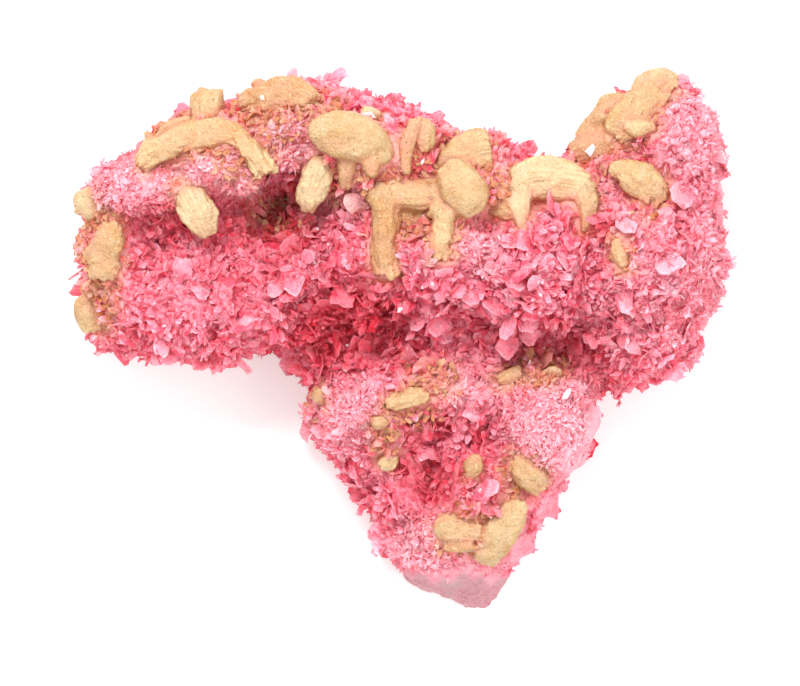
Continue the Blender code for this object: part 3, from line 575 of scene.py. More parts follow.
def mark_ground(ground):
    """Keeps on the ground what the blades and the materials read."""
    mesh = ground.data
    points = vertex_array(mesh, "co")
    distances, buried = from_sheaves(points)
    bare = bare_of_blades(mesh, distances, buried)
    room = np.clip(distances / MM - 0.8, 0, 1)
    smooth = zone_field(points, SMOOTH_ZONES)
    height, level = points[:, 2] / MM, np.clip(vertex_array(mesh, "normal")[:, 2], 0, 1)
    frost = np.maximum(zone_field(points, FROST_ZONES), 0.3 * smooth)
    frost = frost * np.clip((height - 3) / 6, 0, 1)
    stained = zone_field(points, STAIN_ZONES) * np.clip((height - 6) / 5, 0, 1)
    stained = stained * (0.4 + 0.6 * level)
    stain = np.maximum(stained, np.clip(1.1 - distances / (1.3 * MM), 0, 0.8))
    steep = 0.35 + 0.65 * level
    petals = zone_field(points, PETAL_ZONES) * (1 - frost) * (1 - stain)
    cover_shade = 1 - openness(mesh, shape_tree([ground]), GROUND_REACH * MM, 14, 0.3 * MM)
    # Painted crimson shade: strongest in the given zones and where other crystals cover the sky.
    deep = np.maximum(zone_field(points, SHADE_ZONES), 1.25 * cover_shade - 0.25)
    store(mesh, "frost", frost)
    store(mesh, "stain", stain)
    store(mesh, "deep", np.clip(deep, 0, 1))
    room, cover = room * (1 - smooth), (1 - bare) * (1 - smooth)
    store(mesh, "petal_growth", (1 - bare) * room * np.clip(0.25 * (1 - frost) + petals, 0, 1))
    store(mesh, "blade_growth", cover * steep * (1 - 0.85 * frost) * (1 - 0.6 * stain))
    store(mesh, "chip_growth", cover * (1 - 0.5 * frost) * (1 - 0.3 * stain))
    store(mesh, "lath_growth", cover * np.clip(stained * 1.6 - 0.25, 0, 1))
    store(mesh, "druse_growth", cover * np.clip(frost * 1.3, 0, 1))
    low = (1.2 - points[:, 2] / MM) / 0.8
    store(mesh, "rock", np.clip(np.maximum(past_toe(points) / 1.2, low), 0, 1))


# Blades


RIMS = {
    "petal": (
        (-0.14, -0.3), (0.16, -0.3), (0.4, 0.0), (0.52, 0.34), (0.46, 0.7), (0.2, 0.94),
        (-0.14, 0.98), (-0.44, 0.76), (-0.54, 0.4), (-0.4, 0.02),
    ),
    "blade": (
        (-0.1, -0.4), (0.1, -0.4), (0.36, 0.2), (0.4, 0.8), (0.18, 1.3), (-0.22, 1.16),
        (-0.38, 0.36),
    ),
    "chip": ((-0.16, -0.4), (0.16, -0.4), (0.46, 0.35), (0.26, 1.12), (-0.24, 0.98), (-0.44, 0.2)),
    "druse": ((-0.14, -0.4), (0.14, -0.4), (0.3, 0.5), (0.02, 1.4), (-0.28, 0.6)),
    "lath": ((-0.3, -0.4), (0.3, -0.4), (0.46, 0.4), (0.3, 1.1), (-0.24, 1.2), (-0.44, 0.5)),
}
# Sheets in one bundle, how far they fan apart, and half a sheet's thickness in widths.
BUNDLES = {
    "petal": (1, 0.0, 0.05), "blade": (2, 0.34, 0.07), "chip": (1, 0.0, 0.1),
    "druse": (2, 0.7, 0.16), "lath": (2, 0.4, 0.15),
}


def add_sheet(bm, layers, kind, thickness, turn, shift, size, rng):
    """A thin crinkled blade that thickens to its middle, standing on its root, one unit wide."""
    tip, rise = layers
    thick = thickness * rng.uniform(0.7, 1.3)
    bend, cup, twist = rng.uniform(-0.35, 0.35), rng.uniform(-0.6, 0.6), rng.uniform(-0.5, 0.5)
    phase, ripple = rng.uniform(0, math.tau), rng.uniform(0.04, 0.12)
    waves = rng.choice((2.0, 3.0, 4.0))
    creases = []
    for _ in range(3):
        creases.append((rng.uniform(0, math.tau), rng.uniform(0, math.tau), rng.uniform(4, 7)))
    crumple = 0.075 if kind == "petal" else 0.0

    def place(u, v, w, edge):
        w += bend * max(v, 0.0) ** 2 + cup * u * u + twist * u * v
        w += ripple * math.sin(phase + waves * math.atan2(u, v - 0.4)) * (0.3 + edge)
        for way, start, often in creases:
            across = u * math.cos(way) + v * math.sin(way)
            w += crumple * (abs(math.sin(start + often * across)) - 0.5)
        vert = bm.verts.new(turn @ Vector((u * size, w * size + shift, v * size)))
        vert[tip], vert[rise] = edge, v
        return vert

    outline = [(u + rng.uniform(-0.11, 0.11), v + rng.uniform(-0.11, 0.11)) for u, v in RIMS[kind]]
    rim = [place(u, v, rng.uniform(-0.06, 0.06), 1.0) for u, v in outline]
    heart = rng.uniform(-0.1, 0.1), rng.uniform(0.25, 0.45)
    for side in (1, -1):
        ring = rim
        if kind == "petal" and side > 0:
            ring = []
            for u, v in outline:
                pull = 0.34 + rng.uniform(-0.08, 0.08)
                spot = u + (heart[0] - u) * pull, v + (heart[1] - v) * pull
                ring.append(place(*spot, thick * 0.6, 0.4))
            for i, near in enumerate(ring):
                far, a, b = ring[(i + 1) % len(ring)], rim[i], rim[(i + 1) % len(rim)]
                bm.faces.new((near, b, a))
                bm.faces.new((near, far, b))
        middle = place(*heart, side * thick, 0.0)
        for i, near in enumerate(ring):
            far = ring[(i + 1) % len(ring)]
            bm.faces.new((near, far, middle) if side < 0 else (far, near, middle))


def blade_variant(kind, index, rng):
    """A bundle of blades that share a root and fan a little apart."""
    bm = bmesh.new()
    layers = bm.verts.layers.float.new("tip"), bm.verts.layers.float.new("rise")
    count, fan, thickness = BUNDLES[kind]
    for number in range(count):
        share = number - (count - 1) / 2
        turn = Matrix.Rotation(fan * share + rng.uniform(-0.1, 0.1), 3, "X")
        spin = Matrix.Rotation(rng.uniform(-0.5, 0.5), 3, "Z")
        turn @= spin @ Matrix.Rotation(rng.uniform(-0.3, 0.3), 3, "Y")
        size = rng.uniform(0.75, 1.05)
        add_sheet(bm, layers, kind, thickness, turn, share * 0.13, size, rng)
    for face in bm.faces:
        face.smooth = kind == "petal"
    obj = bmesh_object(bm, f"{kind}_shape_{index}")
    obj.data.set_sharp_from_angle(angle=math.radians(34))
    return obj


def glint_plates(pieces, rng):
    """Thin plates, coloured near white as painted glints, laid on whatever is uppermost at each
    place.
    """
    tree = shape_tree(pieces)
    bm = bmesh.new()
    for x, y, long, wide, degrees in GLINTS:
        start = plan_point(x, y, 60.0)
        place, normal = tree.ray_cast(start, Vector((0.0, 0.0, -1.0)))[:2]
        if place is None:
            continue
        facing = (normal * 0.4 + Vector((0.0, 0.0, 1.0))).normalized().to_track_quat("Z", "Y")
        turn = facing.to_matrix() @ Matrix.Rotation(math.radians(degrees), 3, "Z")
        middle = place + Vector((0.0, 0.0, 0.04 * MM))
        rim = []
        corners = rng.choice((4, 5, 6))
        for step in range(corners):
            around = math.tau * (step + rng.uniform(-0.3, 0.3)) / corners
            out = 0.5 * rng.uniform(0.7, 1.2) * MM
            lift = rng.uniform(-0.1, 0.1) * MM
            spot = Vector((long * out * math.cos(around), wide * out * math.sin(around), lift))
            rim.append(bm.verts.new(middle + turn @ spot))
        for lift in (0.06, -0.3):
            heart = bm.verts.new(middle + turn @ Vector((0.0, 0.0, lift * MM)))
            for i, near in enumerate(rim):
                far = rim[(i + 1) % len(rim)]
                bm.faces.new((near, far, heart) if lift > 0 else (far, near, heart))
    return bmesh_object(bm, "crust_glints")


def blade_library(kind, count, seed):
    """A collection of blade shapes for the scatter to pick from."""
    rng = random.Random(seed)
    shelf = bpy.data.collections.new(kind + "_shapes")
    for index in range(count):
        obj = blade_variant(kind, index, rng)
        bpy.context.scene.collection.objects.unlink(obj)
        shelf.objects.link(obj)
    return shelf


def empty_shelf(shelf):
    """Takes away a collection and the shapes in it."""
    for obj in list(shelf.objects):
        bpy.data.objects.remove(obj)
    bpy.data.collections.remove(shelf)


def add_node(tree, kind, inputs=None, **settings):
    """A node with its settings made and its inputs set or linked, by name or number."""
    made = tree.nodes.new(kind)
    for name, value in settings.items():
        setattr(made, name, value)
    for key, value in (inputs or {}).items():
        if isinstance(value, bpy.types.NodeSocket):
            tree.links.new(value, made.inputs[key])
        else:
            made.inputs[key].default_value = value
    return made


def maths(tree, operation, *values):
    """The result of one step with numbers."""
    return add_node(tree, "ShaderNodeMath", dict(enumerate(values)), operation=operation).outputs[0]


def times(tree, first, second):
    """Two numbers multiplied."""
    return maths(tree, "MULTIPLY", first, second)


def vectors(tree, operation, *values):
    """The result of one vector step."""
    made = add_node(tree, "ShaderNodeVectorMath", dict(enumerate(values)), operation=operation)
    return made.outputs["Value" if operation in ("LENGTH", "DOT_PRODUCT") else "Vector"]


def scaled(tree, vector, factor):
    """A vector made longer by a factor."""
    inputs = {0: vector, "Scale": factor}
    return add_node(tree, "ShaderNodeVectorMath", inputs, operation="SCALE").outputs[0]


def chance(tree, low, high, seed, number):
    """A chance number between low and high, for each element. The number keeps chances apart."""
    inputs = {2: low, 3: high, "Seed": maths(tree, "ADD", seed, number)}
    return add_node(tree, "FunctionNodeRandomValue", inputs, data_type="FLOAT").outputs[1]


def tree_input(tree, name, kind, default=None):
    """A named input of a node group."""
    socket = tree.interface.new_socket(name, in_out="INPUT", socket_type=kind)
    if default is not None:
        socket.default_value = default
    return socket


SCATTER_INPUTS = (
    ("Geometry", "NodeSocketGeometry", None),
    ("Shapes", "NodeSocketCollection", None),
    ("Growth", "NodeSocketString", None),
    ("Material", "NodeSocketMaterial", None),
    ("Spacing", "NodeSocketFloat", 0.001),
    ("Smallest", "NodeSocketFloat", 0.001),
    ("Largest", "NodeSocketFloat", 0.002),
    ("Rosette", "NodeSocketFloat", 0.004),
    ("Lean", "NodeSocketFloat", 0.9),
    ("Stray", "NodeSocketFloat", 0.35),
    ("Spin", "NodeSocketFloat", 0.8),
    ("Ceiling", "NodeSocketFloat", 1.0),
    ("Seed", "NodeSocketInt", 0),
)


def scatter_tree():
    """Grows blades in rosettes over a surface and joins them into one mesh."""
    tree = bpy.data.node_groups.new("Grow blades", "GeometryNodeTree")
    for name, kind, default in SCATTER_INPUTS:
        tree_input(tree, name, kind, default)
    tree.interface.new_socket("Geometry", in_out="OUTPUT", socket_type="NodeSocketGeometry")
    given = tree.nodes.new("NodeGroupInput").outputs
    seed = given["Seed"]
    growth = add_node(
        tree, "GeometryNodeInputNamedAttribute", {"Name": given["Growth"]}, data_type="FLOAT"
    )
    spread = add_node(
        tree,
        "GeometryNodeDistributePointsOnFaces",
        {
            "Mesh": given["Geometry"],
            "Distance Min": given["Spacing"],
            "Density Max": maths(tree, "DIVIDE", 2.4, maths(tree, "POWER", given["Spacing"], 2.0)),
            "Density Factor": growth.outputs["Attribute"],
            "Seed": seed,
        },
        distribute_method="POISSON",
    )
    normal = spread.outputs["Normal"]
    place = tree.nodes.new("GeometryNodeInputPosition").outputs[0]
    cells = add_node(
        tree,
        "ShaderNodeTexVoronoi",
        {"Vector": place, "Scale": maths(tree, "DIVIDE", 1.0, given["Rosette"])},
        voronoi_dimensions="3D",
    )
    away = vectors(tree, "SUBTRACT", place, cells.outputs["Position"])
    rise = scaled(tree, normal, vectors(tree, "DOT_PRODUCT", away, normal))
    flat = vectors(tree, "SUBTRACT", away, rise)
    share = maths(tree, "DIVIDE", vectors(tree, "LENGTH", flat), times(tree, given["Rosette"], 0.5))
    lean = times(tree, maths(tree, "MINIMUM", share, 1.0), given["Lean"])
    lean = maths(tree, "ADD", lean, chance(tree, 0.0, given["Stray"], seed, 1))
    up = scaled(tree, normal, maths(tree, "COSINE", lean))
    out = scaled(tree, vectors(tree, "NORMALIZE", flat), maths(tree, "SINE", lean))
    stray = add_node(
        tree,
        "FunctionNodeRandomValue",
        {0: (-1.0, -1.0, -1.0), 1: (1.0, 1.0, 1.0), "Seed": maths(tree, "ADD", seed, 2)},
        data_type="FLOAT_VECTOR",
    )
    shake = scaled(tree, stray.outputs[0], given["Stray"])
    heading = vectors(tree, "ADD", vectors(tree, "ADD", up, out), shake)
    standing = add_node(tree, "FunctionNodeAlignRotationToVector", {"Vector": heading}, axis="Z")
    facing = add_node(
        tree,
        "FunctionNodeAlignRotationToVector",
        {"Rotation": standing.outputs[0], "Vector": normal},
        axis="Y",
        pivot_axis="Z",
    )
    least = times(tree, given["Spin"], -1.0)
    spin = chance(tree, least, given["Spin"], seed, 3)
    inputs = {"Axis": (0.0, 0.0, 1.0), "Angle": spin}
    turn = add_node(tree, "FunctionNodeAxisAngleToRotation", inputs)
    rotation = add_node(
        tree,
        "FunctionNodeRotateRotation",
        {"Rotation": facing.outputs[0], "Rotate By": turn.outputs[0]},
        rotation_space="LOCAL",
    )
    inputs = {"Collection": given["Shapes"], "Separate Children": True}
    shelf = add_node(tree, "GeometryNodeCollectionInfo", inputs)
    inputs = {4: 0, 5: 99, "Seed": maths(tree, "ADD", seed, 4)}
    pick = add_node(tree, "FunctionNodeRandomValue", inputs, data_type="INT")
    size = chance(tree, given["Smallest"], given["Largest"], seed, 5)
    grown = add_node(
        tree,
        "GeometryNodeInstanceOnPoints",
        {
            "Points": spread.outputs["Points"],
            "Instance": shelf.outputs[0],
            "Pick Instance": True,
            "Instance Index": pick.outputs[2],
            "Rotation": rotation.outputs[0],
            "Scale": size,
        },
    )
    tone = chance(tree, 0.0, 1.0, seed, 6)
    toned = add_node(
        tree,
        "GeometryNodeStoreNamedAttribute",
        {"Geometry": grown.outputs[0], "Name": "tone", "Value": tone},
        data_type="FLOAT",
        domain="INSTANCE",
    )
    solid = add_node(tree, "GeometryNodeRealizeInstances", {"Geometry": toned.outputs[0]})
    parts = add_node(tree, "ShaderNodeSeparateXYZ", {0: place})
    height = maths(tree, "MAXIMUM", parts.outputs[2], LOWEST_BLADE * MM)
    height = maths(tree, "MINIMUM", height, given["Ceiling"])
    inputs = {0: parts.outputs[0], 1: parts.outputs[1], 2: height}
    level = add_node(tree, "ShaderNodeCombineXYZ", inputs)
    inputs = {"Geometry": solid.outputs[0], "Position": level.outputs[0]}
    trimmed = add_node(tree, "GeometryNodeSetPosition", inputs)
    inputs = {"Geometry": trimmed.outputs[0], "Material": given["Material"]}
    dressed = add_node(tree, "GeometryNodeSetMaterial", inputs)
    add_node(tree, "NodeGroupOutput", {0: dressed.outputs[0]})
    return tree


def grow(tree, ground, name, kind, width, gap, material, seed, values):
    """Runs the scatter on a copy of the ground and keeps the blades as a plain mesh."""
    shelf = blade_library(kind, 9, seed)
    obj = object_from(ground.data.copy(), name)
    modifier = obj.modifiers.new("Grow", "NODES")
    modifier.node_group = tree
    items = tree.interface.items_tree
    sockets = {item.name: item.identifier for item in items if item.in_out == "INPUT"}
    given = {
        "Shapes": shelf,
        "Growth": kind + "_growth",
        "Material": material,
        "Spacing": width * gap,
        "Smallest": width * 0.55,
        "Ceiling": cad_high.z + BLADE_HEADROOM * MM,
        "Seed": seed * 10,
    }
    for key, value in (given | values).items():
        modifier[sockets[key]] = value
    settle(obj)
    empty_shelf(shelf)
    return obj


# Sheaves


# Distance between a spine's points in millimetres, and points round a body.
STEP = 0.3
SIDES = 30


def eased(stations):
    """Points close together along a smooth curve through the stations, each with its sizes."""
    points = [np.array(station) for station in stations]
    padded = [2 * points[0] - points[1], *points, 2 * points[-1] - points[-2]]
    samples = []
    for a, b, c, d in zip(padded, padded[1:], padded[2:], padded[3:]):
        steps = max(2, round(float(np.linalg.norm((c - b)[:3])) / STEP))
        for i in range(steps):
            t = i / steps
            square, cube = 2 * a - 5 * b + 4 * c - d, 3 * b - a - 3 * c + d
            samples.append(0.5 * (2 * b + (c - a) * t + square * t**2 + cube * t**3))
    samples.append(points[-1])
    return np.array(samples)


def spine_frames(samples):
    """For each point of a spine: the directions along it, up from it and across it."""
    along = np.gradient(samples[:, :3], axis=0)
    along /= np.linalg.norm(along, axis=1)[:, None]
    up = np.array((0.0, 0.0, 1.0)) - along * along[:, 2:3]
    up /= np.linalg.norm(up, axis=1)[:, None]
    return along, up, np.cross(along, up)


def add_body(bm, stations, ragged, laths, rng):
    """One tan body: a bundle of laths that run along its spine and end at uneven lengths."""
    samples = eased(stations)
    along, up, across = spine_frames(samples)
    lengths = [rng.uniform(-1.0, 0.25) * ragged * 0.75 for _ in range(laths)]
    heights = [rng.uniform(0.93, 1.05) for _ in range(laths)]
    last = len(samples) - 1
    rows = []
    for row, (x, y, z, wide, thick) in enumerate(samples):
        near_end = min(row, last - row) * STEP
        pull = max(0.0, 1 - near_end / 0.9) * (-1 if row < last - row else 1)
        ring = []
        for side in range(SIDES):
            angle = math.tau * side / SIDES
            lath = int(side * laths / SIDES)
            cosine, sine = math.cos(angle), math.sin(angle)
            width = math.copysign(abs(cosine) ** 0.8, cosine) * wide / 2 * heights[lath]
            height = math.copysign(abs(sine) ** 0.8, sine) * thick / 2 * heights[lath]
            point = np.array((x, y, z)) + across[row] * width + up[row] * height
            point = point + along[row] * pull * lengths[lath]
            ring.append(bm.verts.new(plan_point(*point)))
        rows.append(ring)
    for near, far in zip(rows, rows[1:]):
        for i in range(SIDES):
            j = (i + 1) % SIDES
            bm.faces.new((near[i], far[i], far[j], near[j]))
    for ring, flip in ((rows[0], -1), (rows[-1], 1)):
        middle = sum((vert.co for vert in ring), Vector()) / SIDES
        cap = bm.verts.new(middle + Vector(along[0 if flip < 0 else -1]) * flip * 0.15 * MM)
        for i in range(SIDES):
            pair = (ring[i], ring[(i + 1) % SIDES])
            bm.faces.new((*pair, cap) if flip < 0 else (*pair[::-1], cap))


def nearest_on_bodies(points, bodies):
    """For each point, in plan millimetres: its place on the nearest body and that body's looks."""
    best = np.full(len(points), 1e9)
    lath = np.zeros((len(points), 3))
    tone, blush, end, coarse = (np.zeros(len(points)) for _ in range(4))
    for index, (*stations, ragged, body_tone, body_blush) in enumerate(bodies):
        samples = eased(stations)
        along, up, across = spine_frames(samples)
        strides = np.linalg.norm(np.diff(samples[:, :3], axis=0), axis=1)
        travelled = np.concatenate(((0.0,), np.cumsum(strides)))
        for row, sample in enumerate(samples):
            offset = points - sample[:3]
            reach = np.linalg.norm(offset, axis=1) / (0.5 * (sample[3] + sample[4]))
            closer = reach < best
            best[closer] = reach[closer]
            turn = np.arctan2(offset @ across[row], offset @ up[row])
            lath[closer, 0] = turn[closer] * 0.25 * (sample[3] + sample[4])
            lath[closer, 1] = (travelled[row] + offset @ along[row])[closer]
            lath[closer, 2] = index * 7.0
            tone[closer], blush[closer], coarse[closer] = body_tone, body_blush, ragged
            end[closer] = abs(2 * travelled[row] / travelled[-1] - 1)
    return lath, tone, blush, end, coarse


def facet_lift(place):
    """Height of a tilted facet at a place, with a step where two facets meet."""
    heart = noise.voronoi(place)[1][0]
    away = place - heart
    return noise.cell_vector(heart * 7.3).dot(away) * 2.0 - away.dot(Vector((1.0, 1.0, 1.0)))


def tan_piece(name, bodies, looks, rng):
    """The bodies of one node run together, ribbed and roughened."""
    bm = bmesh.new()
    for *stations, ragged, _, _ in bodies:
        add_body(bm, stations, ragged, looks.laths, rng)
    obj = bmesh_object(bm, name + "_sheaves")
    run_together(obj, looks.grain, 2)
    mesh = obj.data
    points, normals = vertex_array(mesh, "co"), vertex_array(mesh, "normal")
    plan = points / MM - np.array((*PLAN_ZERO, 0.0))
    lath, tone, blush, end, coarse = nearest_on_bodies(plan, bodies)
    lift = np.empty(len(plan))
    for i, (spot, place) in enumerate(zip(lath, plan)):
        rib = noise.noise(Vector((spot[0] * 2.4, spot[1] * 0.35, spot[2])))
        facet = facet_lift(Vector((spot[0] * 1.1, spot[1] * 0.32, spot[2])))
        block = facet_lift(Vector(place) / 1.5)
        swell = noise.noise(Vector(place) / 2.1)
        lump = noise.noise(Vector(place) / 0.9)
        grain = 0.5 - noise.voronoi(Vector(place) / 0.5)[0][0]
        lift[i] = (0.07 + 0.18 * end[i] ** 3) * rib + 0.22 * swell + 0.1 * lump + 0.06 * grain
        lift[i] += coarse[i] * ((0.1 + 0.22 * end[i]) * facet + 0.3 * block)
    move_vertices(mesh, points + normals * (lift * MM)[:, None])
    store(mesh, "tone", tone)
    store(mesh, "blush", blush)
    store(mesh, "end", end)
    layer = mesh.attributes.new("lath", "FLOAT_VECTOR", "POINT")
    layer.data.foreach_set("vector", lath.ravel().astype(np.float32))
    mesh.polygons.foreach_set("use_smooth", [True] * len(mesh.polygons))
    return obj


# Materials


CLOUDS = "Clouds and grain"
TAN = "stilbite_sheaves"
WHITE = (1.0, 1.0, 1.0, 1.0)
# Tint and strength of the painted crimson shade.
SHADE_TINT = (0.76, 0.24, 0.28)
SHADE_STRENGTH = 0.85
ROCK_DARK = (0.55, 0.21, 0.24)
ROCK_PALE = (0.68, 0.38, 0.40)
ROCK_GREY = (0.52, 0.37, 0.37)
# Near-white colours painted as glints.
PINK_GLINT_PAINT = (1.0, 0.88, 0.90)
TAN_GLINT_PAINT = (1.0, 0.88, 0.68)
GLINT_WHITE = (1.0, 0.93, 0.93)


def shader_tree(name):
    """A new material with its tree and its main shader."""
    material = bpy.data.materials.new(name)
    material.use_nodes = True
    return material, material.node_tree, material.node_tree.nodes["Principled BSDF"]


def attribute(tree, name, output="Fac"):
    """What the mesh holds under a name."""
    return add_node(tree, "ShaderNodeAttribute", attribute_name=name).outputs[output]


def blend(tree, share, first, second, mode="MIX"):
    """A colour between first and second, which are sockets or colours."""
    inputs = {"Factor": share}
    for key, side in ((6, first), (7, second)):
        inputs[key] = side if isinstance(side, bpy.types.NodeSocket) else (*side, 1.0)
    return add_node(tree, "ShaderNodeMix", inputs, data_type="RGBA", blend_type=mode).outputs[2]


def ranged(tree, value, low, high, to_low=0.0, to_high=1.0):
    """A value's place between low and high, carried over to the other range."""
    inputs = {"Value": value, 1: low, 2: high, 3: to_low, 4: to_high}
    return add_node(tree, "ShaderNodeMapRange", inputs).outputs["Result"]


def with_painted_shade(tree, pink):
    """A pink made crimson where the painted shade lies."""
    share = times(tree, attribute(tree, "deep"), SHADE_STRENGTH)
    return blend(tree, share, pink, SHADE_TINT, "MULTIPLY")


def cloud_group():
    """Clouds, grain, specks, folds and painted glints, each from 0 to 1. Built once and shared."""
    if CLOUDS in bpy.data.node_groups:
        return bpy.data.node_groups[CLOUDS]
    tree = bpy.data.node_groups.new(CLOUDS, "ShaderNodeTree")
    tree_input(tree, "Cloud size", "NodeSocketFloat", 0.003)
    tree_input(tree, "Grain size", "NodeSocketFloat", 0.0003)
    tree_input(tree, "Speck spacing", "NodeSocketFloat", 0.0016)
    for name in ("Cloud", "Grain", "Speck", "Fold", "Spark"):
        tree.interface.new_socket(name, in_out="OUTPUT", socket_type="NodeSocketFloat")
    given = tree.nodes.new("NodeGroupInput").outputs
    place = tree.nodes.new("ShaderNodeTexCoord").outputs["Object"]
    results = []
    for name, detail in (("Cloud size", 2.0), ("Grain size", 3.0)):
        scale = maths(tree, "DIVIDE", 1.0, given[name])
        inputs = {"Vector": place, "Scale": scale, "Detail": detail}
        texture = add_node(tree, "ShaderNodeTexNoise", inputs)
        results.append(ranged(tree, texture.outputs[0], 0.3, 0.7))
    scale = maths(tree, "DIVIDE", 1.0, given["Speck spacing"])
    cells = add_node(tree, "ShaderNodeTexVoronoi", {"Vector": place, "Scale": scale})
    near = maths(tree, "LESS_THAN", cells.outputs["Distance"], 0.11)
    split = add_node(tree, "ShaderNodeSeparateColor", {0: cells.outputs["Color"]})
    results.append(times(tree, near, maths(tree, "GREATER_THAN", split.outputs[0], 0.6)))
    scale = maths(tree, "DIVIDE", 2.6, given["Cloud size"])
    inputs = {"Vector": place, "Scale": scale, "Detail": 3.0, "Distortion": 1.2}
    folds = add_node(tree, "ShaderNodeTexNoise", inputs, normalize=True)
    valley = maths(tree, "ABSOLUTE", maths(tree, "SUBTRACT", folds.outputs[0], 0.5))
    results.append(ranged(tree, valley, 0.0, 0.09, 1.0, 0.0))
    # Painted glints: small bright spots.
    lit = maths(tree, "LESS_THAN", cells.outputs["Distance"], 0.2)
    results.append(times(tree, lit, maths(tree, "LESS_THAN", split.outputs[0], 0.3)))
    add_node(tree, "NodeGroupOutput", dict(enumerate(results)))
    return tree


def place_clouds(tree, **inputs):
    """The cloud group in a material's tree, with its sizes."""
    made = add_node(tree, "ShaderNodeGroup", node_tree=cloud_group())
    for name, value in inputs.items():
        made.inputs[name.replace("_", " ")].default_value = value
    return made


def translucency(shader, weight, radius, scale):
    """Light that scatters under the surface, to a depth in millimetres."""
    shader.subsurface_method = "BURLEY"
    shader.inputs["Subsurface Weight"].default_value = weight
    shader.inputs["Subsurface Radius"].default_value = radius
    shader.inputs["Subsurface Scale"].default_value = scale * MM


def roughen(tree, shader, value, low, high):
    """Roughness between low and high, following a value from 0 to 1."""
    tree.links.new(ranged(tree, value, 0.0, 1.0, low, high), shader.inputs["Roughness"])


def relief(tree, shader, strength, distance, height):
    """Fine relief in the shading, of a distance in millimetres."""
    inputs = {"Strength": strength, "Distance": distance * MM, "Height": height}
    bump = add_node(tree, "ShaderNodeBump", inputs)
    tree.links.new(bump.outputs[0], shader.inputs["Normal"])


def blade_material(looks):
    """Translucent pink blades: pale rims and tips as painted light, painted highlight on fold
    crests, painted glints, painted crimson shade where other crystals cover them and at their
    roots, stained near the sheaves.
    """
    material, tree, shader = shader_tree("axinite_blades")
    marks = place_clouds(tree, Cloud_size=3.2 * MM, Grain_size=0.5 * MM)
    tone = attribute(tree, "tone")
    shown = attribute(tree, "open")
    rise = ranged(tree, attribute(tree, "rise"), -0.2, 0.9)
    mottle = times(tree, ranged(tree, marks.outputs["Cloud"], 0.45, 1.0), 0.5)
    body = blend(tree, mottle, looks.body, looks.pale)
    toned = blend(tree, ranged(tree, tone, 0.0, 0.5, 0.5, 0.0), body, looks.deep)
    # Pale rims and tips: painted light through the thin edges, only where the blade is open to the
    # sky.
    edge = times(tree, maths(tree, "POWER", attribute(tree, "tip"), 5.0), rise)
    edge = times(tree, edge, ranged(tree, attribute(tree, "frost"), 0.0, 1.0, 1.0, 0.5))
    rim = times(tree, edge, ranged(tree, shown, 0.1, 0.9))
    # Painted highlight: paler along the fold crests.
    crest_highlight = times(tree, marks.outputs["Fold"], 0.35)
    folded = blend(tree, crest_highlight, toned, looks.tip)
    painted_rim_light = times(tree, rim, ranged(tree, tone, 0.0, 1.0, 0.3, 0.8))
    pink = blend(tree, painted_rim_light, folded, looks.tip)
    frosted = blend(tree, times(tree, attribute(tree, "frost"), 0.8), pink, looks.frost)
    # Painted glints, only where the blade is open to the sky.
    painted_glint = times(tree, marks.outputs["Spark"], ranged(tree, shown, 0.3, 0.9, 0.0, 0.7))
    frosted = blend(tree, painted_glint, frosted, PINK_GLINT_PAINT)
    # Painted shade: the blade turns crimson where other crystals cover the sky and towards each
    # blade's root.
    cover_shade = ranged(tree, shown, 0.0, 0.6, 0.8, 0.0)
    cover_shade = times(tree, cover_shade, ranged(tree, attribute(tree, "frost"), 0.0, 1.0, 1.0, 0.35))
    blade_shade = maths(tree, "MAXIMUM", cover_shade, ranged(tree, rise, 0.0, 0.6, 0.4, 0.0))
    shaded = blend(tree, blade_shade, frosted, looks.deep)
    stain = times(tree, attribute(tree, "stain"), ranged(tree, marks.outputs["Cloud"], 0.2, 0.7))
    stained = blend(tree, times(tree, stain, 0.85), shaded, looks.stain)
    # Painted crimson shade, in the given zones and where other crystals cover the sky.
    shade_reddened = with_painted_shade(tree, stained)
    specked = blend(tree, times(tree, marks.outputs["Speck"], 0.6), shade_reddened, looks.speck)
    tree.links.new(specked, shader.inputs["Base Color"])
    roughen(tree, shader, tone, 0.5, 0.2)
    height = maths(tree, "ADD", marks.outputs["Grain"], times(tree, marks.outputs["Fold"], 1.5))
    relief(tree, shader, 0.8, 0.1, height)
    shader.inputs["IOR"].default_value = 1.45
    shader.inputs["Specular IOR Level"].default_value = 0.25
    translucency(shader, 0.8, (1.0, 0.6, 0.62), 0.8)
    return material


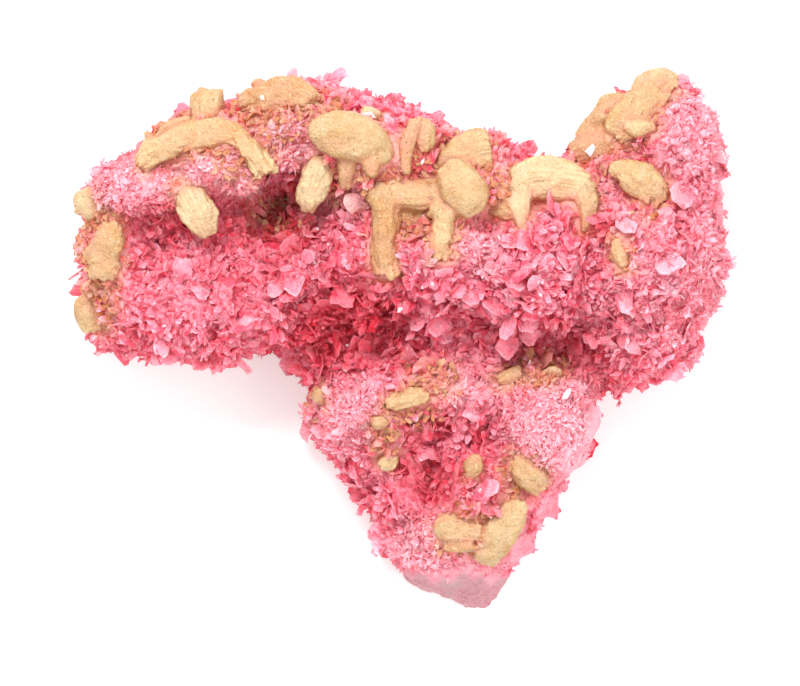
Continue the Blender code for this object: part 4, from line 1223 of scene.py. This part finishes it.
def ground_material(looks):
    """Red between the blades, with painted crimson shade where other crystals cover the sky and
    painted highlight on fold crests, paler and granular on the toe and the broken back.
    """
    material, tree, shader = shader_tree("axinite_root")
    marks = place_clouds(tree, Cloud_size=3.4 * MM, Grain_size=0.35 * MM)
    share = ranged(tree, marks.outputs["Cloud"], 0.0, 1.0, 0.6, 1.0)
    under = blend(tree, share, looks.deep, looks.body)
    # Painted highlight: paler along the fold crests.
    under = blend(tree, times(tree, marks.outputs["Fold"], 0.35), under, looks.tip)
    frosted = blend(tree, times(tree, attribute(tree, "frost"), 0.6), under, looks.frost)
    # Painted shade: crimson where other crystals cover the sky.
    cover_shade = ranged(tree, attribute(tree, "open"), 0.0, 0.6, 0.8, 0.0)
    shaded = blend(tree, cover_shade, frosted, looks.deep)
    stained = blend(tree, times(tree, attribute(tree, "stain"), 0.6), shaded, looks.stain)
    # Painted crimson shade, in the given zones and where other crystals cover the sky.
    shade_reddened = with_painted_shade(tree, stained)
    rock = blend(tree, marks.outputs["Grain"], ROCK_DARK, ROCK_PALE)
    rock = blend(tree, ranged(tree, marks.outputs["Cloud"], 0.55, 1.0, 0.0, 0.7), rock, ROCK_GREY)
    mixed = blend(tree, times(tree, attribute(tree, "rock"), 0.9), shade_reddened, rock)
    specked = blend(tree, times(tree, marks.outputs["Speck"], 0.6), mixed, looks.speck)
    tree.links.new(specked, shader.inputs["Base Color"])
    roughen(tree, shader, marks.outputs["Grain"], 0.4, 0.75)
    relief(tree, shader, 0.5, 0.12, marks.outputs["Grain"])
    shader.inputs["Specular IOR Level"].default_value = 0.3
    translucency(shader, 0.4, (1.0, 0.4, 0.45), 1.0)
    return material


def sheaf_material(looks):
    """Waxy tan: honey and salmon clouds, fine lines, painted glints, and orange-brown painted shade
    in crevices, on steep sides and in grooves. Built once and shared.
    """
    if TAN in bpy.data.materials:
        return bpy.data.materials[TAN]
    material, tree, shader = shader_tree(TAN)
    marks = place_clouds(tree, Cloud_size=1.5 * MM, Grain_size=0.26 * MM, Speck_spacing=0.8 * MM)
    lath = attribute(tree, "lath", "Vector")
    spread = add_node(tree, "ShaderNodeMapping", {"Vector": lath, "Scale": (3.8, 0.24, 1.0)})
    inputs = {"Vector": spread.outputs[0], "Scale": 1.0, "Detail": 3.0}
    lines = add_node(tree, "ShaderNodeTexNoise", inputs)
    streak = ranged(tree, lines.outputs[0], 0.35, 0.65)
    base = blend(tree, attribute(tree, "tone"), looks.tan, looks.cream)
    blushed = blend(tree, attribute(tree, "blush"), base, looks.blush)
    clear = ranged(tree, attribute(tree, "tone"), 0.8, 1.0, 0.0, 0.7)
    end = maths(tree, "MAXIMUM", ranged(tree, attribute(tree, "end"), 0.55, 1.0), clear)
    cloudy = ranged(tree, marks.outputs["Cloud"], 0.3, 1.0, 0.0, 0.7)
    cloudy = times(tree, cloudy, ranged(tree, clear, 0.0, 1.0, 1.0, 0.4))
    clouded = blend(tree, cloudy, blushed, looks.tan)
    broad = place_clouds(tree, Cloud_size=3.8 * MM, Speck_spacing=0.5 * MM)
    patchy = ranged(tree, broad.outputs["Cloud"], 0.35, 1.0, 0.0, 0.6)
    patchy = times(tree, patchy, ranged(tree, clear, 0.0, 1.0, 1.0, 0.4))
    clouded = blend(tree, patchy, clouded, looks.honey)
    lined = blend(tree, times(tree, times(tree, streak, end), 0.65), clouded, looks.straw)
    # Paler cream on the grain's raised spots and orange-brown in its pits: partly mottled colour,
    # partly painted light and shade on the grain that also gives the bump.
    grain_pale = ranged(tree, marks.outputs["Grain"], 0.45, 1.0, 0.0, 0.6)
    grained = blend(tree, grain_pale, lined, looks.cream)
    # Painted glints on the sheaves.
    grained = blend(tree, times(tree, broad.outputs["Spark"], 0.45), grained, TAN_GLINT_PAINT)
    pitted = ranged(tree, marks.outputs["Grain"], 0.0, 0.35, 0.45, 0.0)
    grained = blend(tree, pitted, grained, looks.shade)
    near = ranged(tree, marks.outputs["Cloud"], 0.0, 1.0, 0.75, 0.4)
    near = times(tree, attribute(tree, "near"), near)
    grained = blend(tree, near, grained, looks.salmon)
    # Painted shade: orange-brown where other crystals cover the sky, on steep sides by the height
    # of the normal, and in the grooves between the pale lines near the ends.
    cover_shade = ranged(tree, attribute(tree, "open"), 0.0, 0.8, 0.75, 0.0)
    side = ranged(tree, attribute(tree, "up"), 0.1, 0.85, 0.55, 0.0)
    valley = times(tree, ranged(tree, streak, 0.0, 0.45, 0.3, 0.0), end)
    sheaf_shade = maths(tree, "MAXIMUM", maths(tree, "MAXIMUM", cover_shade, side), valley)
    brown = blend(tree, sheaf_shade, grained, looks.shade)
    specked = blend(tree, times(tree, marks.outputs["Speck"], 0.75), brown, looks.speck)
    tree.links.new(specked, shader.inputs["Base Color"])
    roughen(tree, shader, marks.outputs["Grain"], 0.25, 0.5)
    height = maths(tree, "ADD", times(tree, streak, end), marks.outputs["Grain"])
    relief(tree, shader, 0.8, 0.13, height)
    shader.inputs["IOR"].default_value = 1.5
    translucency(shader, 0.6, (1.0, 0.60, 0.28), 0.5)
    return material


def glint_material(looks):
    """Nearly white plates whose colour is a painted glint, glossy so that they also catch the
    light.
    """
    material, tree, shader = shader_tree("axinite_glints")
    marks = place_clouds(tree, Cloud_size=0.8 * MM, Grain_size=0.3 * MM)
    tint = blend(tree, marks.outputs["Cloud"], GLINT_WHITE, looks.tip)
    tree.links.new(tint, shader.inputs["Base Color"])
    roughen(tree, shader, marks.outputs["Grain"], 0.08, 0.25)
    shader.inputs["Specular IOR Level"].default_value = 0.8
    return material


def floor_material(looks):
    """Plain and pale, with a hardly seen grain."""
    material, tree, shader = shader_tree("pale_floor")
    place = tree.nodes.new("ShaderNodeTexCoord").outputs["Object"]
    inputs = {"Vector": place, "Scale": 20.0, "Detail": 2.0}
    grain = add_node(tree, "ShaderNodeTexNoise", inputs)
    share = ranged(tree, grain.outputs[0], 0.3, 0.7, 0.0, 0.04)
    tint = blend(tree, share, looks.floor, WHITE[:3])
    tree.links.new(tint, shader.inputs["Base Color"])
    shader.inputs["Roughness"].default_value = 0.9
    shader.inputs["Emission Color"].default_value = WHITE
    shader.inputs["Emission Strength"].default_value = 0.35
    return material


# Operators


def built_pieces(context):
    """The pieces of the crust and the sheaves that are in the scene."""
    endings = ("_sheaves", "_laths", "_petals", "_blades", "_chips", "_druse", "_ground")
    pieces = [obj for obj in context.scene.objects if obj.name.endswith(endings)]
    if not pieces:
        raise RuntimeError("Build the crust and the sheaves first")
    return pieces


class CrustOperator(bpy.types.Operator):
    """Builds the pink crust: its ground, petals, blades and druse"""

    bl_idname = "specimen.crust"
    bl_label = "Crust"

    def execute(self, context):
        looks = context.scene.specimen_axinite
        # The noise vectors start from the clock unless they are given a seed above 0.
        noise.seed_set(looks.seed + 1)
        ground = ground_mesh(looks.sink)
        mark_ground(ground)
        material = blade_material(looks)
        tree = scatter_tree()
        plans = (
            ("crust_petals", "petal", looks.petal, 0.5, 1.3, 5.0, 1.35, 0.5),
            ("crust_blades", "blade", looks.blade, 0.72, 1.4, 3.6, 1.2, 1.2),
            ("crust_chips", "chip", looks.chip, 1.0, 1.5, 2.8, 1.1, 1.3),
            ("crust_druse", "druse", looks.needle, 0.64, 1.5, 2.2, 0.85, 1.6),
        )
        for number, (name, kind, width, gap, tall, rosette, lean, spin) in enumerate(plans):
            values = {"Rosette": rosette * MM, "Lean": lean, "Spin": spin, "Largest": width * tall}
            seed = looks.seed + number
            piece = grow(tree, ground, name, kind, width, gap, material, seed, values)
            finish_piece(piece, ["crust"])
        stilbite = context.scene.specimen_stilbite
        tan, width, seed = sheaf_material(stilbite), stilbite.lath, stilbite.seed
        values = {"Rosette": 2.0 * MM, "Lean": 0.9, "Spin": 1.6, "Largest": width * 1.3}
        laths = grow(tree, ground, "crust_laths", "lath", width, 0.66, tan, seed, values)
        finish_piece(laths, ["crust"])
        ground.data.materials.append(ground_material(looks))
        finish_piece(ground, ["crust"])
        return {"FINISHED"}


class SheavesOperator(bpy.types.Operator):
    """Builds the tan sheaves, one piece for each group that is grown together"""

    bl_idname = "specimen.sheaves"
    bl_label = "Sheaves"

    def execute(self, context):
        looks = context.scene.specimen_stilbite
        rng = random.Random(looks.seed)
        material = sheaf_material(looks)
        for node, bodies in TAN_BODIES.items():
            piece = tan_piece(node, bodies, looks, rng)
            piece.data.materials.append(material)
            finish_piece(piece, [node])
        return {"FINISHED"}


class GlintsOperator(bpy.types.Operator):
    """Lays the plates painted as glints on the crust and the sheaves"""

    bl_idname = "specimen.glints"
    bl_label = "Glints"

    def execute(self, context):
        looks = context.scene.specimen_axinite
        plates = glint_plates(built_pieces(context), random.Random(looks.seed))
        plates.data.materials.append(glint_material(looks))
        finish_piece(plates, ["crust"])
        return {"FINISHED"}


class CrevicesOperator(bpy.types.Operator):
    """Marks how open each spot of every piece is, which the painted shade, painted rim light and
    painted glints of the colours follow
    """

    bl_idname = "specimen.crevices"
    bl_label = "Crevices"

    def execute(self, context):
        pieces = built_pieces(context)
        tree = shape_tree(pieces)
        ground = shape_tree([piece for piece in pieces if piece.name == "crust_ground"])
        rays = 9
        for piece in pieces:
            mesh = piece.data
            shown = openness(mesh, tree, PIECE_REACH * MM, rays, 0.06 * MM)
            # The normal's height, which the sheaf colour follows to paint shade on steep sides.
            up = vertex_array(mesh, "normal")[:, 2]
            if piece.name.endswith("_sheaves"):
                spots = [ground.find_nearest(vert.co, 1.6 * MM)[3] for vert in mesh.vertices]
                near = np.array([1.6 if gap is None else gap / MM for gap in spots])
                store(mesh, "near", np.clip(1.1 - near, 0, 1))
            if piece.name == "crust_laths":
                # The laths take less painted shade, and none on steep sides.
                shown, up = 0.6 + 0.4 * shown, np.ones(len(up))
                store(mesh, "blush", up * 0.7)
                store(mesh, "near", up * 0.5)
            store(mesh, "open", shown)
            store(mesh, "up", up)
        return {"FINISHED"}


class StageOperator(bpy.types.Operator):
    """Sets the pale floor, the soft lights and the camera that looks straight down"""

    bl_idname = "specimen.stage"
    bl_label = "Stage"

    def execute(self, context):
        looks = context.scene.specimen_stage
        scene = context.scene
        bm = bmesh.new()
        bmesh.ops.create_grid(bm, x_segments=1, y_segments=1, size=1.5)
        floor = bmesh_object(bm, "floor")
        floor.data.materials.append(floor_material(looks))
        world = bpy.data.worlds.new("Even daylight")
        world.use_nodes = True
        sky = world.node_tree.nodes["Background"]
        sky.inputs["Color"].default_value = WHITE
        sky.inputs["Strength"].default_value = looks.daylight
        scene.world = world
        self.lamp("key", (-0.10, 0.26, 0.42), 0.16, looks.key)
        self.lamp("fill", (0.30, -0.12, 0.40), 0.30, looks.key * 0.35)
        self.camera(scene, looks.lens)
        scene.view_settings.view_transform = "Standard"
        return {"FINISHED"}

    def lamp(self, name, place, size, power):
        """A round lamp that points at the middle of the specimen."""
        light = bpy.data.lights.new(name, "AREA")
        light.shape = "DISK"
        light.size = size
        light.energy = power
        obj = bpy.data.objects.new(name, light)
        bpy.context.scene.collection.objects.link(obj)
        obj.location = place
        aim = Vector((0, 0, 0.01)) - Vector(place)
        obj.rotation_euler = aim.to_track_quat("-Z", "Y").to_euler()

    def camera(self, scene, lens):
        """Looks straight down, from where the frame is FRAME_WIDTH wide at the middle's height."""
        data = bpy.data.cameras.new("camera")
        data.lens = lens
        data.sensor_width = SENSOR
        distance = FRAME_WIDTH * MM * lens / SENSOR
        obj = bpy.data.objects.new("camera", data)
        scene.collection.objects.link(obj)
        obj.location = plan_point(*FRAME_MIDDLE) + Vector((0, 0, distance))
        data.clip_start, data.clip_end = distance * 0.1, distance * 10
        scene.camera = obj


class SpecimenPanel(bpy.types.Panel):
    """Lists the specimen's settings and steps"""

    bl_idname = "VIEW3D_PT_specimen"
    bl_label = "Specimen"
    bl_space_type = "VIEW_3D"
    bl_region_type = "UI"
    bl_category = "Specimen"

    def draw(self, context):
        for name in SETTINGS:
            box = self.layout.box()
            settings = getattr(context.scene, name)
            for key in settings.bl_rna.properties.keys():
                if key not in ("rna_type", "name"):
                    box.prop(settings, key)
        for operator in STEPS:
            self.layout.operator(operator.bl_idname)


SETTINGS = {
    "specimen_axinite": AxiniteSettings,
    "specimen_stilbite": StilbiteSettings,
    "specimen_stage": StageSettings,
}
STEPS = (CrustOperator, SheavesOperator, GlintsOperator, CrevicesOperator, StageOperator)


def register():
    """Adds the settings, the steps and the panel to Blender."""
    for name, group in SETTINGS.items():
        bpy.utils.register_class(group)
        setattr(bpy.types.Scene, name, PointerProperty(type=group))
    for item in (*STEPS, SpecimenPanel):
        bpy.utils.register_class(item)


def unregister():
    """Takes them away again."""
    for item in (SpecimenPanel, *reversed(STEPS)):
        bpy.utils.unregister_class(item)
    for name, group in reversed(SETTINGS.items()):
        delattr(bpy.types.Scene, name)
        bpy.utils.unregister_class(group)


def main():
    """Builds everything, one step after another."""
    register()
    for step in STEPS:
        area, name = step.bl_idname.split(".")
        getattr(getattr(bpy.ops, area), name)()


if __name__ == "__main__":
    main()
